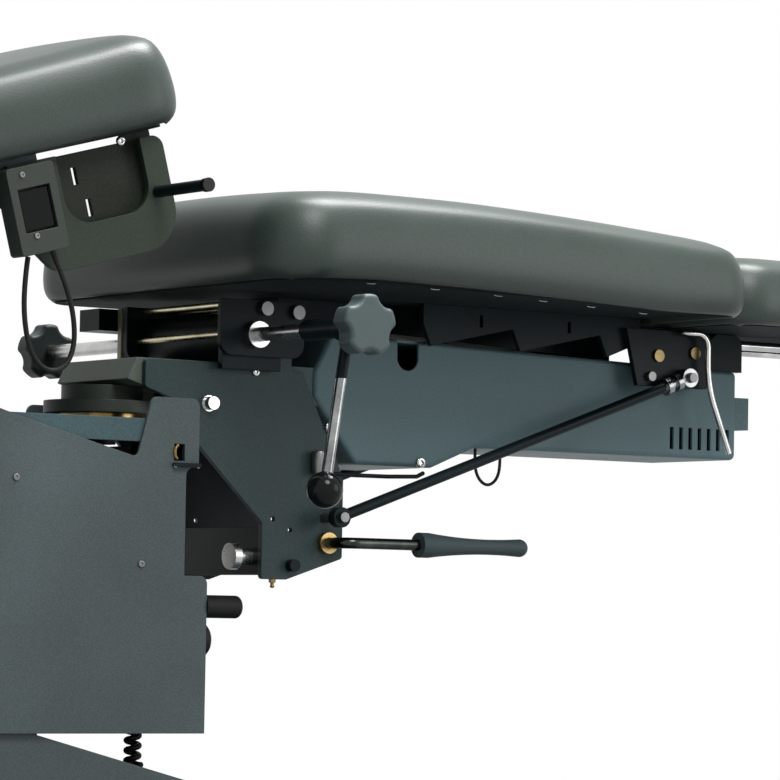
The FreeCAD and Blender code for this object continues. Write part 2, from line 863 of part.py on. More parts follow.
def make_housing():
    outline = [(housing_head_x, housing_head_bottom_z, housing_corner),
               (housing_keel_x, housing_keel_z, housing_corner), (housing_heel_x, housing_keel_z, housing_corner),
               (housing_step_x, housing_step_z, housing_corner), (housing_foot_x, housing_step_z, housing_corner),
               (housing_foot_x, housing_top_z, housing_corner), (housing_level_x, housing_top_z, 0),
               (housing_top_x, housing_ridge_z, housing_corner),
               (housing_head_x, housing_head_top_z, housing_corner)]
    outer_half = tower_inner + housing_sheet
    shell = plate(outline, -outer_half, outer_half)
    rims = []
    for edge in shell.Edges:
        box = edge.BoundBox
        if box.YLength < running and box.ZMin > housing_top_z - running and box.XLength > housing_corner:
            rims.append(edge)
    shell = shell.makeFillet(housing_edge, rims)
    inner_face = Part.Face(rounded_wire(outline)).makeOffset2D(-housing_sheet)
    hollow = inner_face.extrude(Vector(0, tower_inner + tower_inner, 0))
    hollow.translate(Vector(0, -tower_inner, 0))
    mouth = block(housing_head_x - overrun, housing_keel_x, -tower_inner, tower_inner, spine_bottom_z,
                  spine_top_z)
    shell = shell.cut(hollow).cut(mouth)
    notch_end = Vector(notch_x, -outer_half - overrun, ridge_at(notch_x) - notch_depth + notch_width / 2)
    notch = rod(notch_end, Vector(notch_x, -tower_inner + running, notch_end.z), notch_width / 2)
    notch = notch.fuse(block(notch_x - notch_width / 2, notch_x + notch_width / 2, -outer_half - overrun,
                             -tower_inner + running, notch_end.z, housing_ridge_z + overrun))
    shell = shell.cut(notch)
    for number in range(vent_count):
        x = vent_first_x + number * vent_pitch
        slot = block(x, x + vent_slot, -outer_half - overrun, -tower_inner + overrun, vent_low_z, vent_high_z)
        shell = shell.cut(slot)
    junction = block(housing_foot_x, housing_foot_x + junction_depth, -junction_half_width, junction_half_width,
                     junction_bottom_z, junction_top_z)
    nodes["drive_housing"] = shell.fuse(junction).removeSplitter()
    axis_z = housing_step_z + housing_sheet + slip + motor_radius
    motor = rod(Vector(motor_head_x, 0, axis_z), Vector(motor_foot_x, 0, axis_z), motor_radius)
    gear_low = housing_step_z + housing_sheet
    gears = block(gear_head_x, motor_head_x, -gear_half_width, gear_half_width, gear_low, gear_low + gear_height)
    nodes["drive_unit"] = motor.fuse(gears).removeSplitter()


# Drop unit
def make_drop_unit():
    outer = drop_plate_inner + drop_plate_thickness
    outline = [(drop_plate_head_x, drop_plate_bottom_z, drop_plate_corner),
               (drop_plate_foot_x, drop_plate_bottom_z, drop_plate_corner),
               (drop_plate_foot_x, drop_plate_top_z, 0), (drop_plate_head_x, drop_plate_top_z, 0)]
    near = plate(outline, -outer, -drop_plate_inner)
    near = near.cut(rod_y(lug_stud_x, lug_stud_z, -outer - overrun, -drop_plate_inner + overrun, stud_radius + slip))
    far = mirrored(near)
    for x, z, radius in ((shaft_x, shaft_z, shaft_radius), (flange_stud_x, flange_stud_z, stud_radius)):
        near = near.cut(rod_y(x, z, -outer - overrun, -drop_plate_inner + overrun, radius + slip))
    near_end = -drop_plate_inner
    far_end = cylinder_far_y + flange_thickness
    body = rod_y(shaft_x, shaft_z, near_end + flange_thickness, cylinder_far_y, cylinder_radius)
    bore = rod_y(shaft_x, shaft_z, near_end - overrun, end_block_far_y + overrun, cylinder_bore_radius)
    far = far.cut(rod_y(shaft_x, shaft_z, near_end, far_end, cylinder_radius + slip))
    end_block = block(end_block_head_x, end_block_foot_x, far_end, end_block_far_y, end_block_bottom_z,
                      end_block_top_z)
    nodes["drop_cylinder"] = Part.makeCompound([body.cut(bore), end_block.cut(bore)])
    flanges = []
    for y0 in (near_end, cylinder_far_y):
        flange = block(shaft_x - flange_half_side, shaft_x + flange_half_side, y0, y0 + flange_thickness,
                       shaft_z - flange_half_side, shaft_z + flange_half_side)
        flanges.append(flange.cut(bore))
    rods = []
    for across, over in ((-tie_rod_wide, 0), (-tie_rod_narrow, tie_rod_rise), (tie_rod_narrow, tie_rod_rise),
                         (tie_rod_wide, 0)):
        x = shaft_x + across
        z = shaft_z + over
        rods.append(rod_y(x, z, near_end, far_end, tie_rod_radius))
        hole = rod_y(x, z, near_end - overrun, far_end + overrun, tie_rod_radius + slip)
        flanges = [flange.cut(hole) for flange in flanges]
        far = far.cut(rod_y(x, z, 0, far_end, tie_rod_radius + slip))
    flange_hole = rod_y(flange_stud_x, flange_stud_z, near_end - overrun, near_end + flange_thickness + overrun,
                        stud_radius + running)
    flanges[0] = flanges[0].cut(flange_hole)
    nodes["drop_plates"] = Part.makeCompound([near, far])
    nodes["cylinder_flanges"] = Part.makeCompound(flanges)
    nodes["cylinder_rods"] = Part.makeCompound(rods)
    for side in (-1, 1):
        shank = rod_y(lug_stud_x, lug_stud_z, side * tower_inner, side * outer, stud_radius)
        collar = rod_y(lug_stud_x, lug_stud_z, side * (tower_inner + tower_plate), side * drop_plate_inner,
                       stud_collar_radius)
        head = rod_y(lug_stud_x, lug_stud_z, side * outer, side * (outer + stud_head_height), stud_head_radius)
        fasteners.append(shank.fuse([collar, head]).removeSplitter())
    shank = rod_y(flange_stud_x, flange_stud_z, near_end + flange_thickness, -outer, stud_radius)
    head = rod_y(flange_stud_x, flange_stud_z, -outer, -outer - stud_head_height, stud_head_radius)
    fasteners.append(shank.fuse(head).removeSplitter())


# Cocking lever
def make_lever():
    shaft = rod_y(shaft_x, shaft_z, -shaft_half_length, shaft_half_length + far_reach, shaft_radius)
    collar_seat = -drop_plate_inner - drop_plate_thickness - slip
    collar = rod_y(shaft_x, shaft_z, collar_seat, collar_seat - shaft_collar_length, shaft_collar_radius)
    nodes["drop_shaft"] = shaft.fuse(collar).removeSplitter()
    hub = rod_y(shaft_x, shaft_z, -hub_near, -hub_far, hub_radius)
    sleeve = rod_y(shaft_x, shaft_z, -sleeve_near, -hub_near, sleeve_radius)
    hub = hub.fuse(sleeve)
    middle = -(hub_near + hub_far) / 2
    top = Vector(shaft_x, middle, shaft_z)
    ball = Vector(shaft_x + lever_tilt_x, middle, shaft_z - lever_drop - ball_radius)
    arm = rod(top, ball, lever_radius)
    lever = hub.fuse(arm)
    bore = rod_y(shaft_x, shaft_z, -sleeve_near + overrun, -hub_far - overrun, shaft_radius + running)
    sphere = Part.makeSphere(ball_radius, ball)
    lever = lever.cut(bore).cut(sphere).removeSplitter()
    nodes["cocking_lever"] = max(lever.Solids, key=lambda piece: piece.Volume)
    nodes["lever_ball"] = sphere


def star_knob():
    """Near star knob: a disc with five dents, eased rims, bored for the shaft end."""
    knob = rod_y(shaft_x, shaft_z, -knob_seat, -knob_seat - knob_thickness, knob_radius)
    for lobe in range(knob_lobes):
        angle = 2 * math.pi * lobe / knob_lobes
        x = shaft_x + knob_dent_offset * math.sin(angle)
        z = shaft_z - knob_dent_offset * math.cos(angle)
        knob = knob.cut(rod_y(x, z, -knob_seat + overrun, -knob_seat - knob_thickness - overrun, knob_dent_radius))
    cusps = [edge for edge in knob.Edges if edge.Length < knob_thickness + running and
             edge.BoundBox.YLength > knob_thickness - running]
    knob = knob.makeFillet(knob_cusp, cusps)
    rims = [edge for edge in knob.Edges if edge.BoundBox.YLength < running]
    knob = knob.makeFillet(knob_edge, rims)
    return knob.cut(rod_y(shaft_x, shaft_z, -knob_seat + overrun, -shaft_half_length - slip, shaft_radius + running))


def make_knobs():
    near = star_knob()
    nodes["knob_near"] = near
    far = mirrored(near)
    far.translate(Vector(0, far_reach, 0))
    nodes["knob_far"] = far


# Flexion handle
def make_handle():
    outer = tower_inner + tower_plate
    start = Vector(handle_x, -tower_inner, handle_z)
    turn_y = -outer - handle_out
    bend_start = Vector(handle_x, turn_y + handle_bend, handle_z)
    bend_end = Vector(handle_x + handle_bend, turn_y, handle_z)
    centre = Vector(handle_x + handle_bend, turn_y + handle_bend, handle_z)
    middle_way = Vector(-1, -1, 0).normalize()
    middle = centre.add(middle_way.multiply(handle_bend))
    end = Vector(grip_start_x + grip_collar_length + grip_collar_length, turn_y, handle_z)
    route = Part.Wire([Part.makeLine(start, bend_start), Part.Arc(bend_start, middle, bend_end).toShape(),
                       Part.makeLine(bend_end, end)])
    section = Part.Wire(Part.makeCircle(handle_radius, start, Vector(0, -1, 0)))
    nodes["flexion_handle"] = route.makePipeShell([section], True, False)
    tail = grip_start_x + grip_length
    collar_x = grip_start_x + grip_collar_length
    waist_x = (collar_x + tail) / 2
    profile = [Part.makeLine(Vector(grip_start_x, 0, 0), Vector(grip_start_x, 0, grip_collar_radius)),
               Part.makeLine(Vector(grip_start_x, 0, grip_collar_radius), Vector(collar_x, 0, grip_collar_radius)),
               Part.Arc(Vector(collar_x, 0, grip_collar_radius), Vector(waist_x, 0, grip_waist_radius),
                        Vector(tail - grip_radius, 0, grip_radius)).toShape(),
               Part.Arc(Vector(tail - grip_radius, 0, grip_radius),
                        Vector(tail - grip_radius + grip_radius * math.sin(math.pi / curl_quarters_per_turn), 0,
                               grip_radius * math.cos(math.pi / curl_quarters_per_turn)),
                        Vector(tail, 0, 0)).toShape(),
               Part.makeLine(Vector(tail, 0, 0), Vector(grip_start_x, 0, 0))]
    grip = Part.Face(Part.Wire(profile)).revolve(Vector(0, 0, 0), Vector(1, 0, 0), 360)
    grip.translate(Vector(0, turn_y, handle_z))
    nodes["handle_grip"] = grip.cut(rod(Vector(grip_start_x - overrun, turn_y, handle_z), end,
                                        handle_radius + running))


# Brace rods
def make_braces():
    low = Vector(brace_low_x, -brace_half_width, brace_low_z)
    high = Vector(brace_high_x, -brace_half_width, brace_high_z)
    outer = tower_inner + tower_plate
    way = high.sub(low).normalize()
    y0 = -brace_half_width - brace_ring_half
    y1 = -brace_half_width + brace_ring_half
    near = rod(low, high, brace_radius)
    for end in (low, high):
        near = near.fuse(rod_y(end.x, end.z, y0, y1, brace_ring_radius))
    for gap in (brace_nut_gap, brace_nut_gap + brace_nut_height + brace_nut_height):
        start = high.sub(Vector(way).multiply(gap))
        near = near.fuse(rod(start, start.sub(Vector(way).multiply(brace_nut_height)), brace_nut_radius))
    near = near.removeSplitter()
    for end in (low, high):
        near = near.cut(rod_y(end.x, end.z, y0 - overrun, y1 + overrun, brace_pin_radius + running))
    nodes["brace_rods"] = Part.makeCompound([near, mirrored(near)])
    pins = []
    for side in (-1, 1):
        wall = side * (tower_inner + housing_sheet)
        stud_tip = side * (drop_plate_inner + drop_plate_thickness + brace_pin_radius)
        pins.append(rod_y(low.x, low.z, side * outer, side * brace_pin_tip, brace_pin_radius))
        pins.append(rod_y(high.x, high.z, wall, side * brace_pin_tip, brace_pin_radius))
        pins.append(rod_y(bracket_stud_x, brace_high_z, wall, stud_tip, brace_pin_radius))
    fasteners.extend(pins)


# Hinge brackets and drop rails
def make_brackets():
    outer = drop_plate_inner + drop_plate_thickness
    outline = [(bracket_low_x, bracket_bottom_z, 0), (bracket_foot_x, bracket_bottom_z, bracket_corner),
               (bracket_foot_x, bracket_top_z, bracket_corner), (bracket_head_x, bracket_top_z, 0)]
    near = plate(outline, -outer, -drop_plate_inner)
    for x, z, radius in ((hinge_x, hinge_z, hinge_pin_radius), (brace_high_x, brace_high_z, brace_pin_radius),
                         (bracket_stud_x, brace_high_z, brace_pin_radius),
                         (bracket_screw_x, bracket_screw_z, hinge_pin_radius)):
        near = near.cut(rod_y(x, z, -outer - overrun, -drop_plate_inner + overrun, radius + running))
    nodes["hinge_brackets"] = Part.makeCompound([near, mirrored(near)])
    pins = []
    for side in (-1, 1):
        for x, z, depth in ((hinge_x, hinge_z, rail_inner), (bracket_screw_x, bracket_screw_z, drop_plate_inner)):
            shank = rod_y(x, z, side * depth, side * outer, hinge_pin_radius)
            head = rod_y(x, z, side * outer, side * (outer + hinge_head_height), hinge_head_radius)
            pins.append(shank.fuse(head).removeSplitter())
    nodes["hinge_pins"] = Part.makeCompound(pins)


def drop_rail():
    """Near drop rail: saw teeth on the lower edge, a tail round the hinge pin, and small slits."""
    outline = [(rail_head_x, rail_root_z, 0)]
    for tooth in range(rail_teeth):
        tip_x = rail_tip_x + tooth * rail_tooth_pitch
        if tooth > 0:
            outline.append((tip_x - (rail_tip_x - rail_head_x), rail_root_z, 0))
        outline.append((tip_x, rail_tooth_z, 0))
    tail_x = bracket_head_x + rail_tooth_pitch / rail_teeth
    outline += [(tail_x, rail_root_z, 0), (tail_x, rail_tail_z, 0), (rail_foot_x, rail_tail_z, bracket_corner),
                (rail_foot_x, bracket_top_z, bracket_corner), (pelvic_foot_x - board_inset, bracket_top_z, 0),
                (pelvic_foot_x - board_inset, pelvic_board_z, 0), (rail_head_x, pelvic_board_z, 0)]
    outer = rail_inner + rail_thickness
    rail = plate(outline, -outer, -rail_inner)
    for tooth in range(rail_teeth - 1):
        x = rail_tip_x + rail_slit_offset + tooth * rail_tooth_pitch
        slit = block(x, x + rail_slit_width, -outer - overrun, -rail_inner + overrun, rail_root_z,
                     rail_root_z + rail_slit_height)
        rail = rail.cut(slit)
    return rail.cut(rod_y(hinge_x, hinge_z, -outer - overrun, -rail_inner + overrun, hinge_pin_radius + running))


# Pelvic section
def make_pelvic():
    rail = drop_rail()
    beam_foot_x = pelvic_foot_x - board_inset
    beam = plate([(beam_head_x, beam_head_z, 0), (beam_foot_x, beam_foot_z, 0), (beam_foot_x, pelvic_board_z, 0),
                  (beam_head_x, pelvic_board_z, 0)], -beam_half_width, beam_half_width)
    nodes["drop_rails"] = Part.makeCompound([rail, mirrored(rail), beam])
    nodes["pelvic_board"], nodes["pelvic_cushion"] = upholstered(pelvic_head_x, pelvic_foot_x, pelvic_half_width,
                                                                 pelvic_board_z, pelvic_height, pelvic_taper)


# Leg section
def make_leg():
    nodes["leg_board"], nodes["leg_cushion"] = upholstered(leg_head_x, leg_foot_x, leg_half_width, leg_board_z,
                                                           leg_height, 0)
    block_head_x = leg_block_foot_x - leg_block_length
    bar = block(block_head_x, leg_block_foot_x, -guide_half_width, guide_half_width,
                leg_rod_z - leg_rod_radius - leg_rod_radius, leg_board_z)
    guide_outline = [(guide_head_x, housing_top_z, 0), (guide_foot_x, housing_top_z, 0),
                     (guide_foot_x, guide_top_z, guide_corner), (guide_head_x, guide_top_z, guide_corner)]
    guide = plate(guide_outline, -guide_half_width, guide_half_width)
    rods = []
    for side in (-1, 1):
        y = side * leg_rod_half_gap
        start = Vector(leg_rod_head_x, y, leg_rod_z)
        rods.append(rod(start, Vector(block_head_x, y, leg_rod_z), leg_rod_radius))
        through = rod(Vector(guide_head_x - overrun, y, leg_rod_z), Vector(guide_foot_x + overrun, y, leg_rod_z),
                      leg_rod_radius + running)
        guide = guide.cut(through)
    nodes["leg_rods"] = Part.makeCompound(rods)
    nodes["leg_block"] = bar
    nodes["leg_guide"] = guide


# Thoracic section
def thoracic_frame():
    """Two side rails, two cross tubes, a web and a sleeve round the mast shaft."""
    parts = []
    top = thoracic_board_z
    for side in (-1, 1):
        y0 = min(side * thoracic_rail_inner, side * thoracic_rail_outer)
        y1 = max(side * thoracic_rail_inner, side * thoracic_rail_outer)
        parts.append(block(thoracic_rail_head_x, thoracic_rail_foot_x, y0, y1, thoracic_rail_bottom_z, top))
    for x in (cross_head_x, cross_foot_x - cross_side):
        parts.append(block(x, x + cross_side, -thoracic_rail_inner, thoracic_rail_inner, top - cross_side, top))
    parts.append(block(cross_head_x, cross_foot_x, -web_half_width, web_half_width, web_bottom_z, top))
    half = mast_half_width - mast_plate - slip
    parts.append(rod_y(tilt_pivot_x, tilt_pivot_z, -half, half, tilt_shaft_radius + sleeve_wall))
    tongue_x = head_pivot_x - head_pivot_radius - head_pivot_radius
    half_tongue = head_tongue_half_width
    parts.append(block(tongue_x, cross_head_x, -half_tongue, half_tongue, top - cross_side, top))
    pin_half = head_tongue_half_width + slip + head_fork_thickness
    parts.append(rod_y(head_pivot_x, head_pivot_z, -pin_half, pin_half, head_pivot_radius))
    frame = parts[0].fuse(parts[1:]).removeSplitter()
    return frame.cut(rod_y(tilt_pivot_x, tilt_pivot_z, -half - overrun, half + overrun, tilt_shaft_radius + running))


def sector_plate():
    """Near sector plate: a deep open mouth, a rounded belly and a wing at the foot end."""
    outline = [(sector_head_x, sector_mouth_z, 0), (sector_mouth_head_x - sector_wing, sector_bottom_z, sector_wing),
               (sector_foot_x, sector_bottom_z, sector_corner), (sector_foot_x, sector_top_z, sector_wing / 2),
               (sector_foot_x - sector_wing, sector_top_z, 0),
               (sector_foot_x - sector_wing, sector_mouth_z, sector_mouth_corner),
               (sector_mouth_head_x, sector_mouth_z, sector_mouth_corner), (sector_mouth_head_x, sector_top_z, 0),
               (sector_head_x, sector_top_z, 0)]
    near = plate(outline, -thoracic_rail_outer - sector_sheet, -thoracic_rail_outer)
    return near


def make_thoracic():
    base, pad = upholstered(thoracic_head_x, thoracic_foot_x, thoracic_half_width, thoracic_board_z,
                            thoracic_height, 0)
    nodes["thoracic_board"] = tilted(base)
    nodes["thoracic_cushion"] = tilted(pad)
    nodes["thoracic_frame"] = tilted(thoracic_frame())
    bracket = [(tilt_bracket_head_x, tilt_bracket_bottom_z, sector_wing),
               (tilt_bracket_foot_x, tilt_bracket_bottom_z, sector_wing),
               (tilt_bracket_foot_x, thoracic_board_z, 0), (tilt_bracket_step_x, thoracic_board_z, 0),
               (tilt_bracket_step_x, tilt_bracket_step_z, 0), (tilt_bracket_head_x, tilt_bracket_step_z, 0)]
    near = plate(bracket, -tilt_bracket_y, -tilt_bracket_y + tilt_bracket_sheet)
    for x, z in ((tilt_slot_head_x, tilt_slot_high_z), (tilt_slot_foot_x, tilt_slot_low_z)):
        near = near.cut(block(x, x + tilt_slot_width, -tilt_bracket_y - overrun,
                              -tilt_bracket_y + tilt_bracket_sheet + overrun, z, z + tilt_slot_length))
    nodes["tilt_brackets"] = tilted(Part.makeCompound([near, mirrored(near)]))
    plate_near = sector_plate()
    nodes["sector_plates"] = tilted(Part.makeCompound([plate_near, mirrored(plate_near)]))
    face = -thoracic_rail_outer - sector_sheet
    outline = [(box_head_x, box_bottom_z, box_corner), (box_foot_x, box_bottom_z, box_corner),
               (box_foot_x, box_top_z, box_corner), (box_head_x, box_top_z, box_corner)]
    box = plate(outline, face - box_depth, face)
    middle_x = (box_head_x + box_foot_x) / 2
    middle_z = (box_bottom_z + box_top_z) / 2
    window = block(middle_x - window_width / 2, middle_x + window_width / 2, face - box_depth - overrun,
                   face - box_depth + window_depth, middle_z - window_height / 2, middle_z + window_height / 2)
    nodes["switch_box"] = tilted(box.cut(window))
    rocker_back = face - box_depth + window_depth - slip
    half_width = window_width / 2 - rocker_gap
    half_height = window_height / 2 - rocker_gap
    front = rocker_back - rocker_thickness
    side = rocker_back - rocker_relief
    profile = [Vector(0, rocker_back, middle_z), Vector(0, side, middle_z + half_height),
               Vector(0, front, middle_z + half_height), Vector(0, front, middle_z - half_height),
               Vector(0, side, middle_z - half_height), Vector(0, rocker_back, middle_z)]
    rocker = Part.Face(Part.makePolygon(profile)).extrude(Vector(half_width + half_width, 0, 0))
    rocker.translate(Vector(middle_x - half_width, 0, 0))
    nodes["rocker"] = tilted(rocker)
    handle = rod_y(release_x, release_z, face - slip, -release_reach, release_radius)
    cap = rod_y(release_x, release_z, -release_reach, -release_reach - release_cap_length, release_cap_radius)
    nodes["release_handle"] = tilted(handle)
    nodes["release_cap"] = tilted(cap)


def hand_cord():
    """The loop under the switch box; its hanging points are chosen by hand."""
    y = -thoracic_rail_outer - sector_sheet - box_depth / 2
    start = tilted_point(cord_start_x, y, box_bottom_z - cord_seat)
    end = tilted_point(cord_end_x, y, box_bottom_z - cord_seat)
    hanging = [(-223, 520), (-220, 482), (-210, 457), (-192, 447), (-174, 456), (-167, 482), (-175, 522)]
    points = [start] + [Vector(x, y, z) for x, z in hanging] + [end]
    nodes["hand_cord"] = tube(points, cord_radius, "hand cord")


def make_head():
    top = head_plate_bottom_z + board_thickness
    base = board(head_plate_head_x, head_plate_foot_x, -head_plate_half_width, head_plate_half_width, board_corner,
                 head_plate_bottom_z, board_thickness)
    gap = head_pad_gap / 2
    frame = base.cut(board(head_plate_head_x + head_slot_margin, head_plate_foot_x - head_slot_margin, -gap, gap,
                           gap / 2, head_plate_bottom_z - overrun, board_thickness + overrun + overrun))
    for side in (-1, 1):
        y0 = side * (head_tongue_half_width + slip)
        y1 = side * (head_tongue_half_width + slip + head_fork_thickness)
        low = min(y0, y1)
        arm = block(head_plate_foot_x - head_tongue_depth, head_pivot_x, low, low + head_fork_thickness,
                    head_pivot_z - head_pivot_radius - head_pivot_radius, head_plate_bottom_z)
        knuckle_radius = head_pivot_radius + head_pivot_radius
        knuckle = rod_y(head_pivot_x, head_pivot_z, low, low + head_fork_thickness, knuckle_radius)
        frame = frame.fuse([arm, knuckle])
    bore = rod_y(head_pivot_x, head_pivot_z, -head_plate_half_width, head_plate_half_width,
                 head_pivot_radius + running)
    nodes["head_frame"] = tilted(frame.removeSplitter().cut(bore))
    pad = cushion(head_plate_head_x, head_plate_foot_x, -gap - head_pad_width, -gap, top + slip, head_pad_height, 0,
                  head_pad_corner)
    nodes["head_cushions"] = tilted(Part.makeCompound([pad, mirrored(pad)]))


def make_bail():
    """The chrome wire at the foot end of the drop rail, standing out of its bracket."""
    face = -drop_plate_inner - drop_plate_thickness
    y = face - bail_reach
    points = [Vector(bail_x, face, bail_z), Vector(bail_x, y, bail_z), Vector(bail_x + bail_shoulder, y, bail_z),
              Vector(bail_x + bail_shoulder, y, bail_z - bail_drop),
              Vector(bail_x + bail_shoulder + bail_kick, y, bail_z - bail_drop - bail_tail)]
    nodes["bail_wire"] = tube(points, bail_radius, "bail wire")


def cable_loop():
    """The drive cable's loop under the housing; its hanging points are chosen by hand."""
    y = -tower_inner + housing_sheet
    start = Vector(cable_head_x, y, housing_step_z - slip)
    end = Vector(cable_foot_x, y, housing_step_z - slip)
    hanging = [(403, 388), (409, 374), (420, 368), (431, 374), (436, 388)]
    points = [start] + [Vector(x, y, z) for x, z in hanging] + [end]
    nodes["drive_cable"] = tube(points, cable_radius, "drive cable")


make_base()
make_carriage()
make_mast()
make_curly_cord()
make_turntable()
make_tower()
make_housing()
make_drop_unit()
make_lever()
make_knobs()
make_handle()
make_braces()
make_brackets()
make_pelvic()
make_leg()
make_thoracic()
hand_cord()
make_head()
cable_loop()
make_bail()
nodes["frame_fasteners"] = Part.makeCompound(fasteners)

os.makedirs("parts", exist_ok=True)
for name, shape in nodes.items():
    print(name, "valid", shape.isValid(), "solids", len(shape.Solids), "volume", round(shape.Volume))
    shape.exportStep("parts/" + name + ".step")
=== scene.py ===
"""Looks of the flexion table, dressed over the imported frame. Metres, X to the foot end, Z up."""
import json
import math

import bpy
import numpy as np
from mathutils import Matrix, Vector


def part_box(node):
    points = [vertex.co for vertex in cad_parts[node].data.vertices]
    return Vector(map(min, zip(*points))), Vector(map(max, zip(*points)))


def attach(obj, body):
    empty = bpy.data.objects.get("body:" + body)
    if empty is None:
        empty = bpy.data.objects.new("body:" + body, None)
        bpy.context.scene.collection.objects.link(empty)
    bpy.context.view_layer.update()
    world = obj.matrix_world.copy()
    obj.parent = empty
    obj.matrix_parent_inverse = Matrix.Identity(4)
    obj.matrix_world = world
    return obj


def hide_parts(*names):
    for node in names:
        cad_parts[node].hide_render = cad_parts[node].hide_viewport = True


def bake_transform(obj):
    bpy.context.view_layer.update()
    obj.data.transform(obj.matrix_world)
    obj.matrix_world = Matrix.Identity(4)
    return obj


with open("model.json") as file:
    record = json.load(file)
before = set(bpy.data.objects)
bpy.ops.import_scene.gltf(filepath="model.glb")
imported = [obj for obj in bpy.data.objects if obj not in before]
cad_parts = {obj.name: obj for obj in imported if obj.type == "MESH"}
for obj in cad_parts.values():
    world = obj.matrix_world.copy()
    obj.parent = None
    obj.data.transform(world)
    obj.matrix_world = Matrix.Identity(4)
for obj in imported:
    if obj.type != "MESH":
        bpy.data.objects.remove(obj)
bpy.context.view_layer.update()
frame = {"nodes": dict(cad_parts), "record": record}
scene = bpy.context.scene
scene.view_settings.view_transform = "Standard"

# Camera, read from the photograph
IMAGE_SIDE = 780
FOCAL_PIXELS = 4200
SENSOR = 36.0
VIEW_AZIMUTH = math.radians(-35)
VIEW_ELEVATION = math.radians(-3.2)
VIEW_ROLL = math.radians(1)
VIEW_DISTANCE = 4.2
VIEW_REACH = 60
VIEW_TARGET = Vector((0.2928, -0.07, 0.46))

# Places shared with the solids
TILT_PIVOT = np.array((-0.300, 0.0, 0.590))
TILT_REST = math.radians(15)

# Keeps divisions clear of zero
TINY = 1e-9


def add_camera():
    """Camera axes: back along the view, right level, then both rolled about the view."""
    level = math.cos(VIEW_ELEVATION)
    back = Vector((math.sin(VIEW_AZIMUTH) * level, -math.cos(VIEW_AZIMUTH) * level, math.sin(VIEW_ELEVATION)))
    right = Vector((math.cos(VIEW_AZIMUTH), math.sin(VIEW_AZIMUTH), 0))
    up = back.cross(right)
    rolled_right = right * math.cos(VIEW_ROLL) + up * math.sin(VIEW_ROLL)
    rolled_up = up * math.cos(VIEW_ROLL) - right * math.sin(VIEW_ROLL)
    data = bpy.data.cameras.new("photo_camera")
    data.sensor_width = SENSOR
    data.lens = SENSOR * FOCAL_PIXELS / IMAGE_SIDE
    data.clip_end = VIEW_REACH
    camera = bpy.data.objects.new("photo_camera", data)
    scene.collection.objects.link(camera)
    turn = Matrix((rolled_right, rolled_up, back)).transposed().to_4x4()
    camera.matrix_world = Matrix.Translation(VIEW_TARGET + back * VIEW_DISTANCE) @ turn
    scene.camera = camera


add_camera()


# Mesh helpers
def mesh_piece(name, points, faces, smooth=True):
    """A mesh object at the origin from arrays of points and faces."""
    mesh = bpy.data.meshes.new(name)
    mesh.from_pydata([tuple(p) for p in np.asarray(points, float)], [], [tuple(int(i) for i in f) for f in faces])
    mesh.polygons.foreach_set("use_smooth", np.full(len(mesh.polygons), smooth))
    mesh.update()
    piece = bpy.data.objects.new(name, mesh)
    scene.collection.objects.link(piece)
    return piece


def grid_faces(rows, columns, closed=False):
    """Quads of a grid of points, row by row; a closed grid joins its last column to its first."""
    row = np.arange(rows - 1)[:, None] * columns
    column = np.arange(columns if closed else columns - 1)[None, :]
    after = (column + 1) % columns
    quads = np.stack([row + column, row + after, row + columns + after, row + columns + column], axis=-1)
    return quads.reshape(-1, 4)


def tube_faces(rows, sides):
    """Faces of a closed tube: quads from ring to ring and one face over each end."""
    last = (rows - 1) * sides
    faces = [tuple(f) for f in grid_faces(rows, sides, True)]
    return faces + [tuple(range(sides))[::-1], tuple(range(last, last + sides))]


def tilt(points):
    """Turns points of the level chest section up about the mast pivot."""
    along = points[:, 0] - TILT_PIVOT[0]
    over = points[:, 2] - TILT_PIVOT[2]
    turned = points.copy()
    turned[:, 0] = TILT_PIVOT[0] + along * math.cos(TILT_REST) - over * math.sin(TILT_REST)
    turned[:, 2] = TILT_PIVOT[2] + along * math.sin(TILT_REST) + over * math.cos(TILT_REST)
    return turned


# Shader helpers
def group_tree(name, inputs, outputs):
    """A shader node group with float or colour sockets; returns its tree and its two end nodes."""
    tree = bpy.data.node_groups.new(name, "ShaderNodeTree")
    for label, value in inputs.items():
        kind = "NodeSocketFloat" if np.isscalar(value) else "NodeSocketColor"
        socket = tree.interface.new_socket(label, in_out="INPUT", socket_type=kind)
        socket.default_value = value if np.isscalar(value) else (*value, 1)
    for label in outputs:
        kind = "NodeSocketColor" if label == "Colour" else "NodeSocketFloat"
        tree.interface.new_socket(label, in_out="OUTPUT", socket_type=kind)
    return tree, tree.nodes.new("NodeGroupInput"), tree.nodes.new("NodeGroupOutput")


def noise(tree, vector, scale, detail=2.0, rough=0.5):
    """A noise value; its scale is a number or a socket."""
    node = tree.nodes.new("ShaderNodeTexNoise")
    node.inputs["Detail"].default_value = detail
    node.inputs["Roughness"].default_value = rough
    tree.links.new(vector, node.inputs["Vector"])
    if isinstance(scale, bpy.types.NodeSocket):
        tree.links.new(scale, node.inputs["Scale"])
    else:
        node.inputs["Scale"].default_value = scale
    return node.outputs["Fac"]


def spread(tree, value, low, high, to_low=0.0, to_high=1.0):
    """Maps a value from one span to another, clamped."""
    node = tree.nodes.new("ShaderNodeMapRange")
    tree.links.new(value, node.inputs["Value"])
    for label, number in (("From Min", low), ("From Max", high), ("To Min", to_low), ("To Max", to_high)):
        if isinstance(number, bpy.types.NodeSocket):
            tree.links.new(number, node.inputs[label])
        else:
            node.inputs[label].default_value = number
    return node.outputs["Result"]


def math_node(tree, operation, first, second):
    """One sum on two values, each a number or a socket."""
    node = tree.nodes.new("ShaderNodeMath")
    node.operation = operation
    for socket, value in zip(node.inputs, (first, second)):
        if isinstance(value, bpy.types.NodeSocket):
            tree.links.new(value, socket)
        else:
            socket.default_value = value
    return node.outputs["Value"]


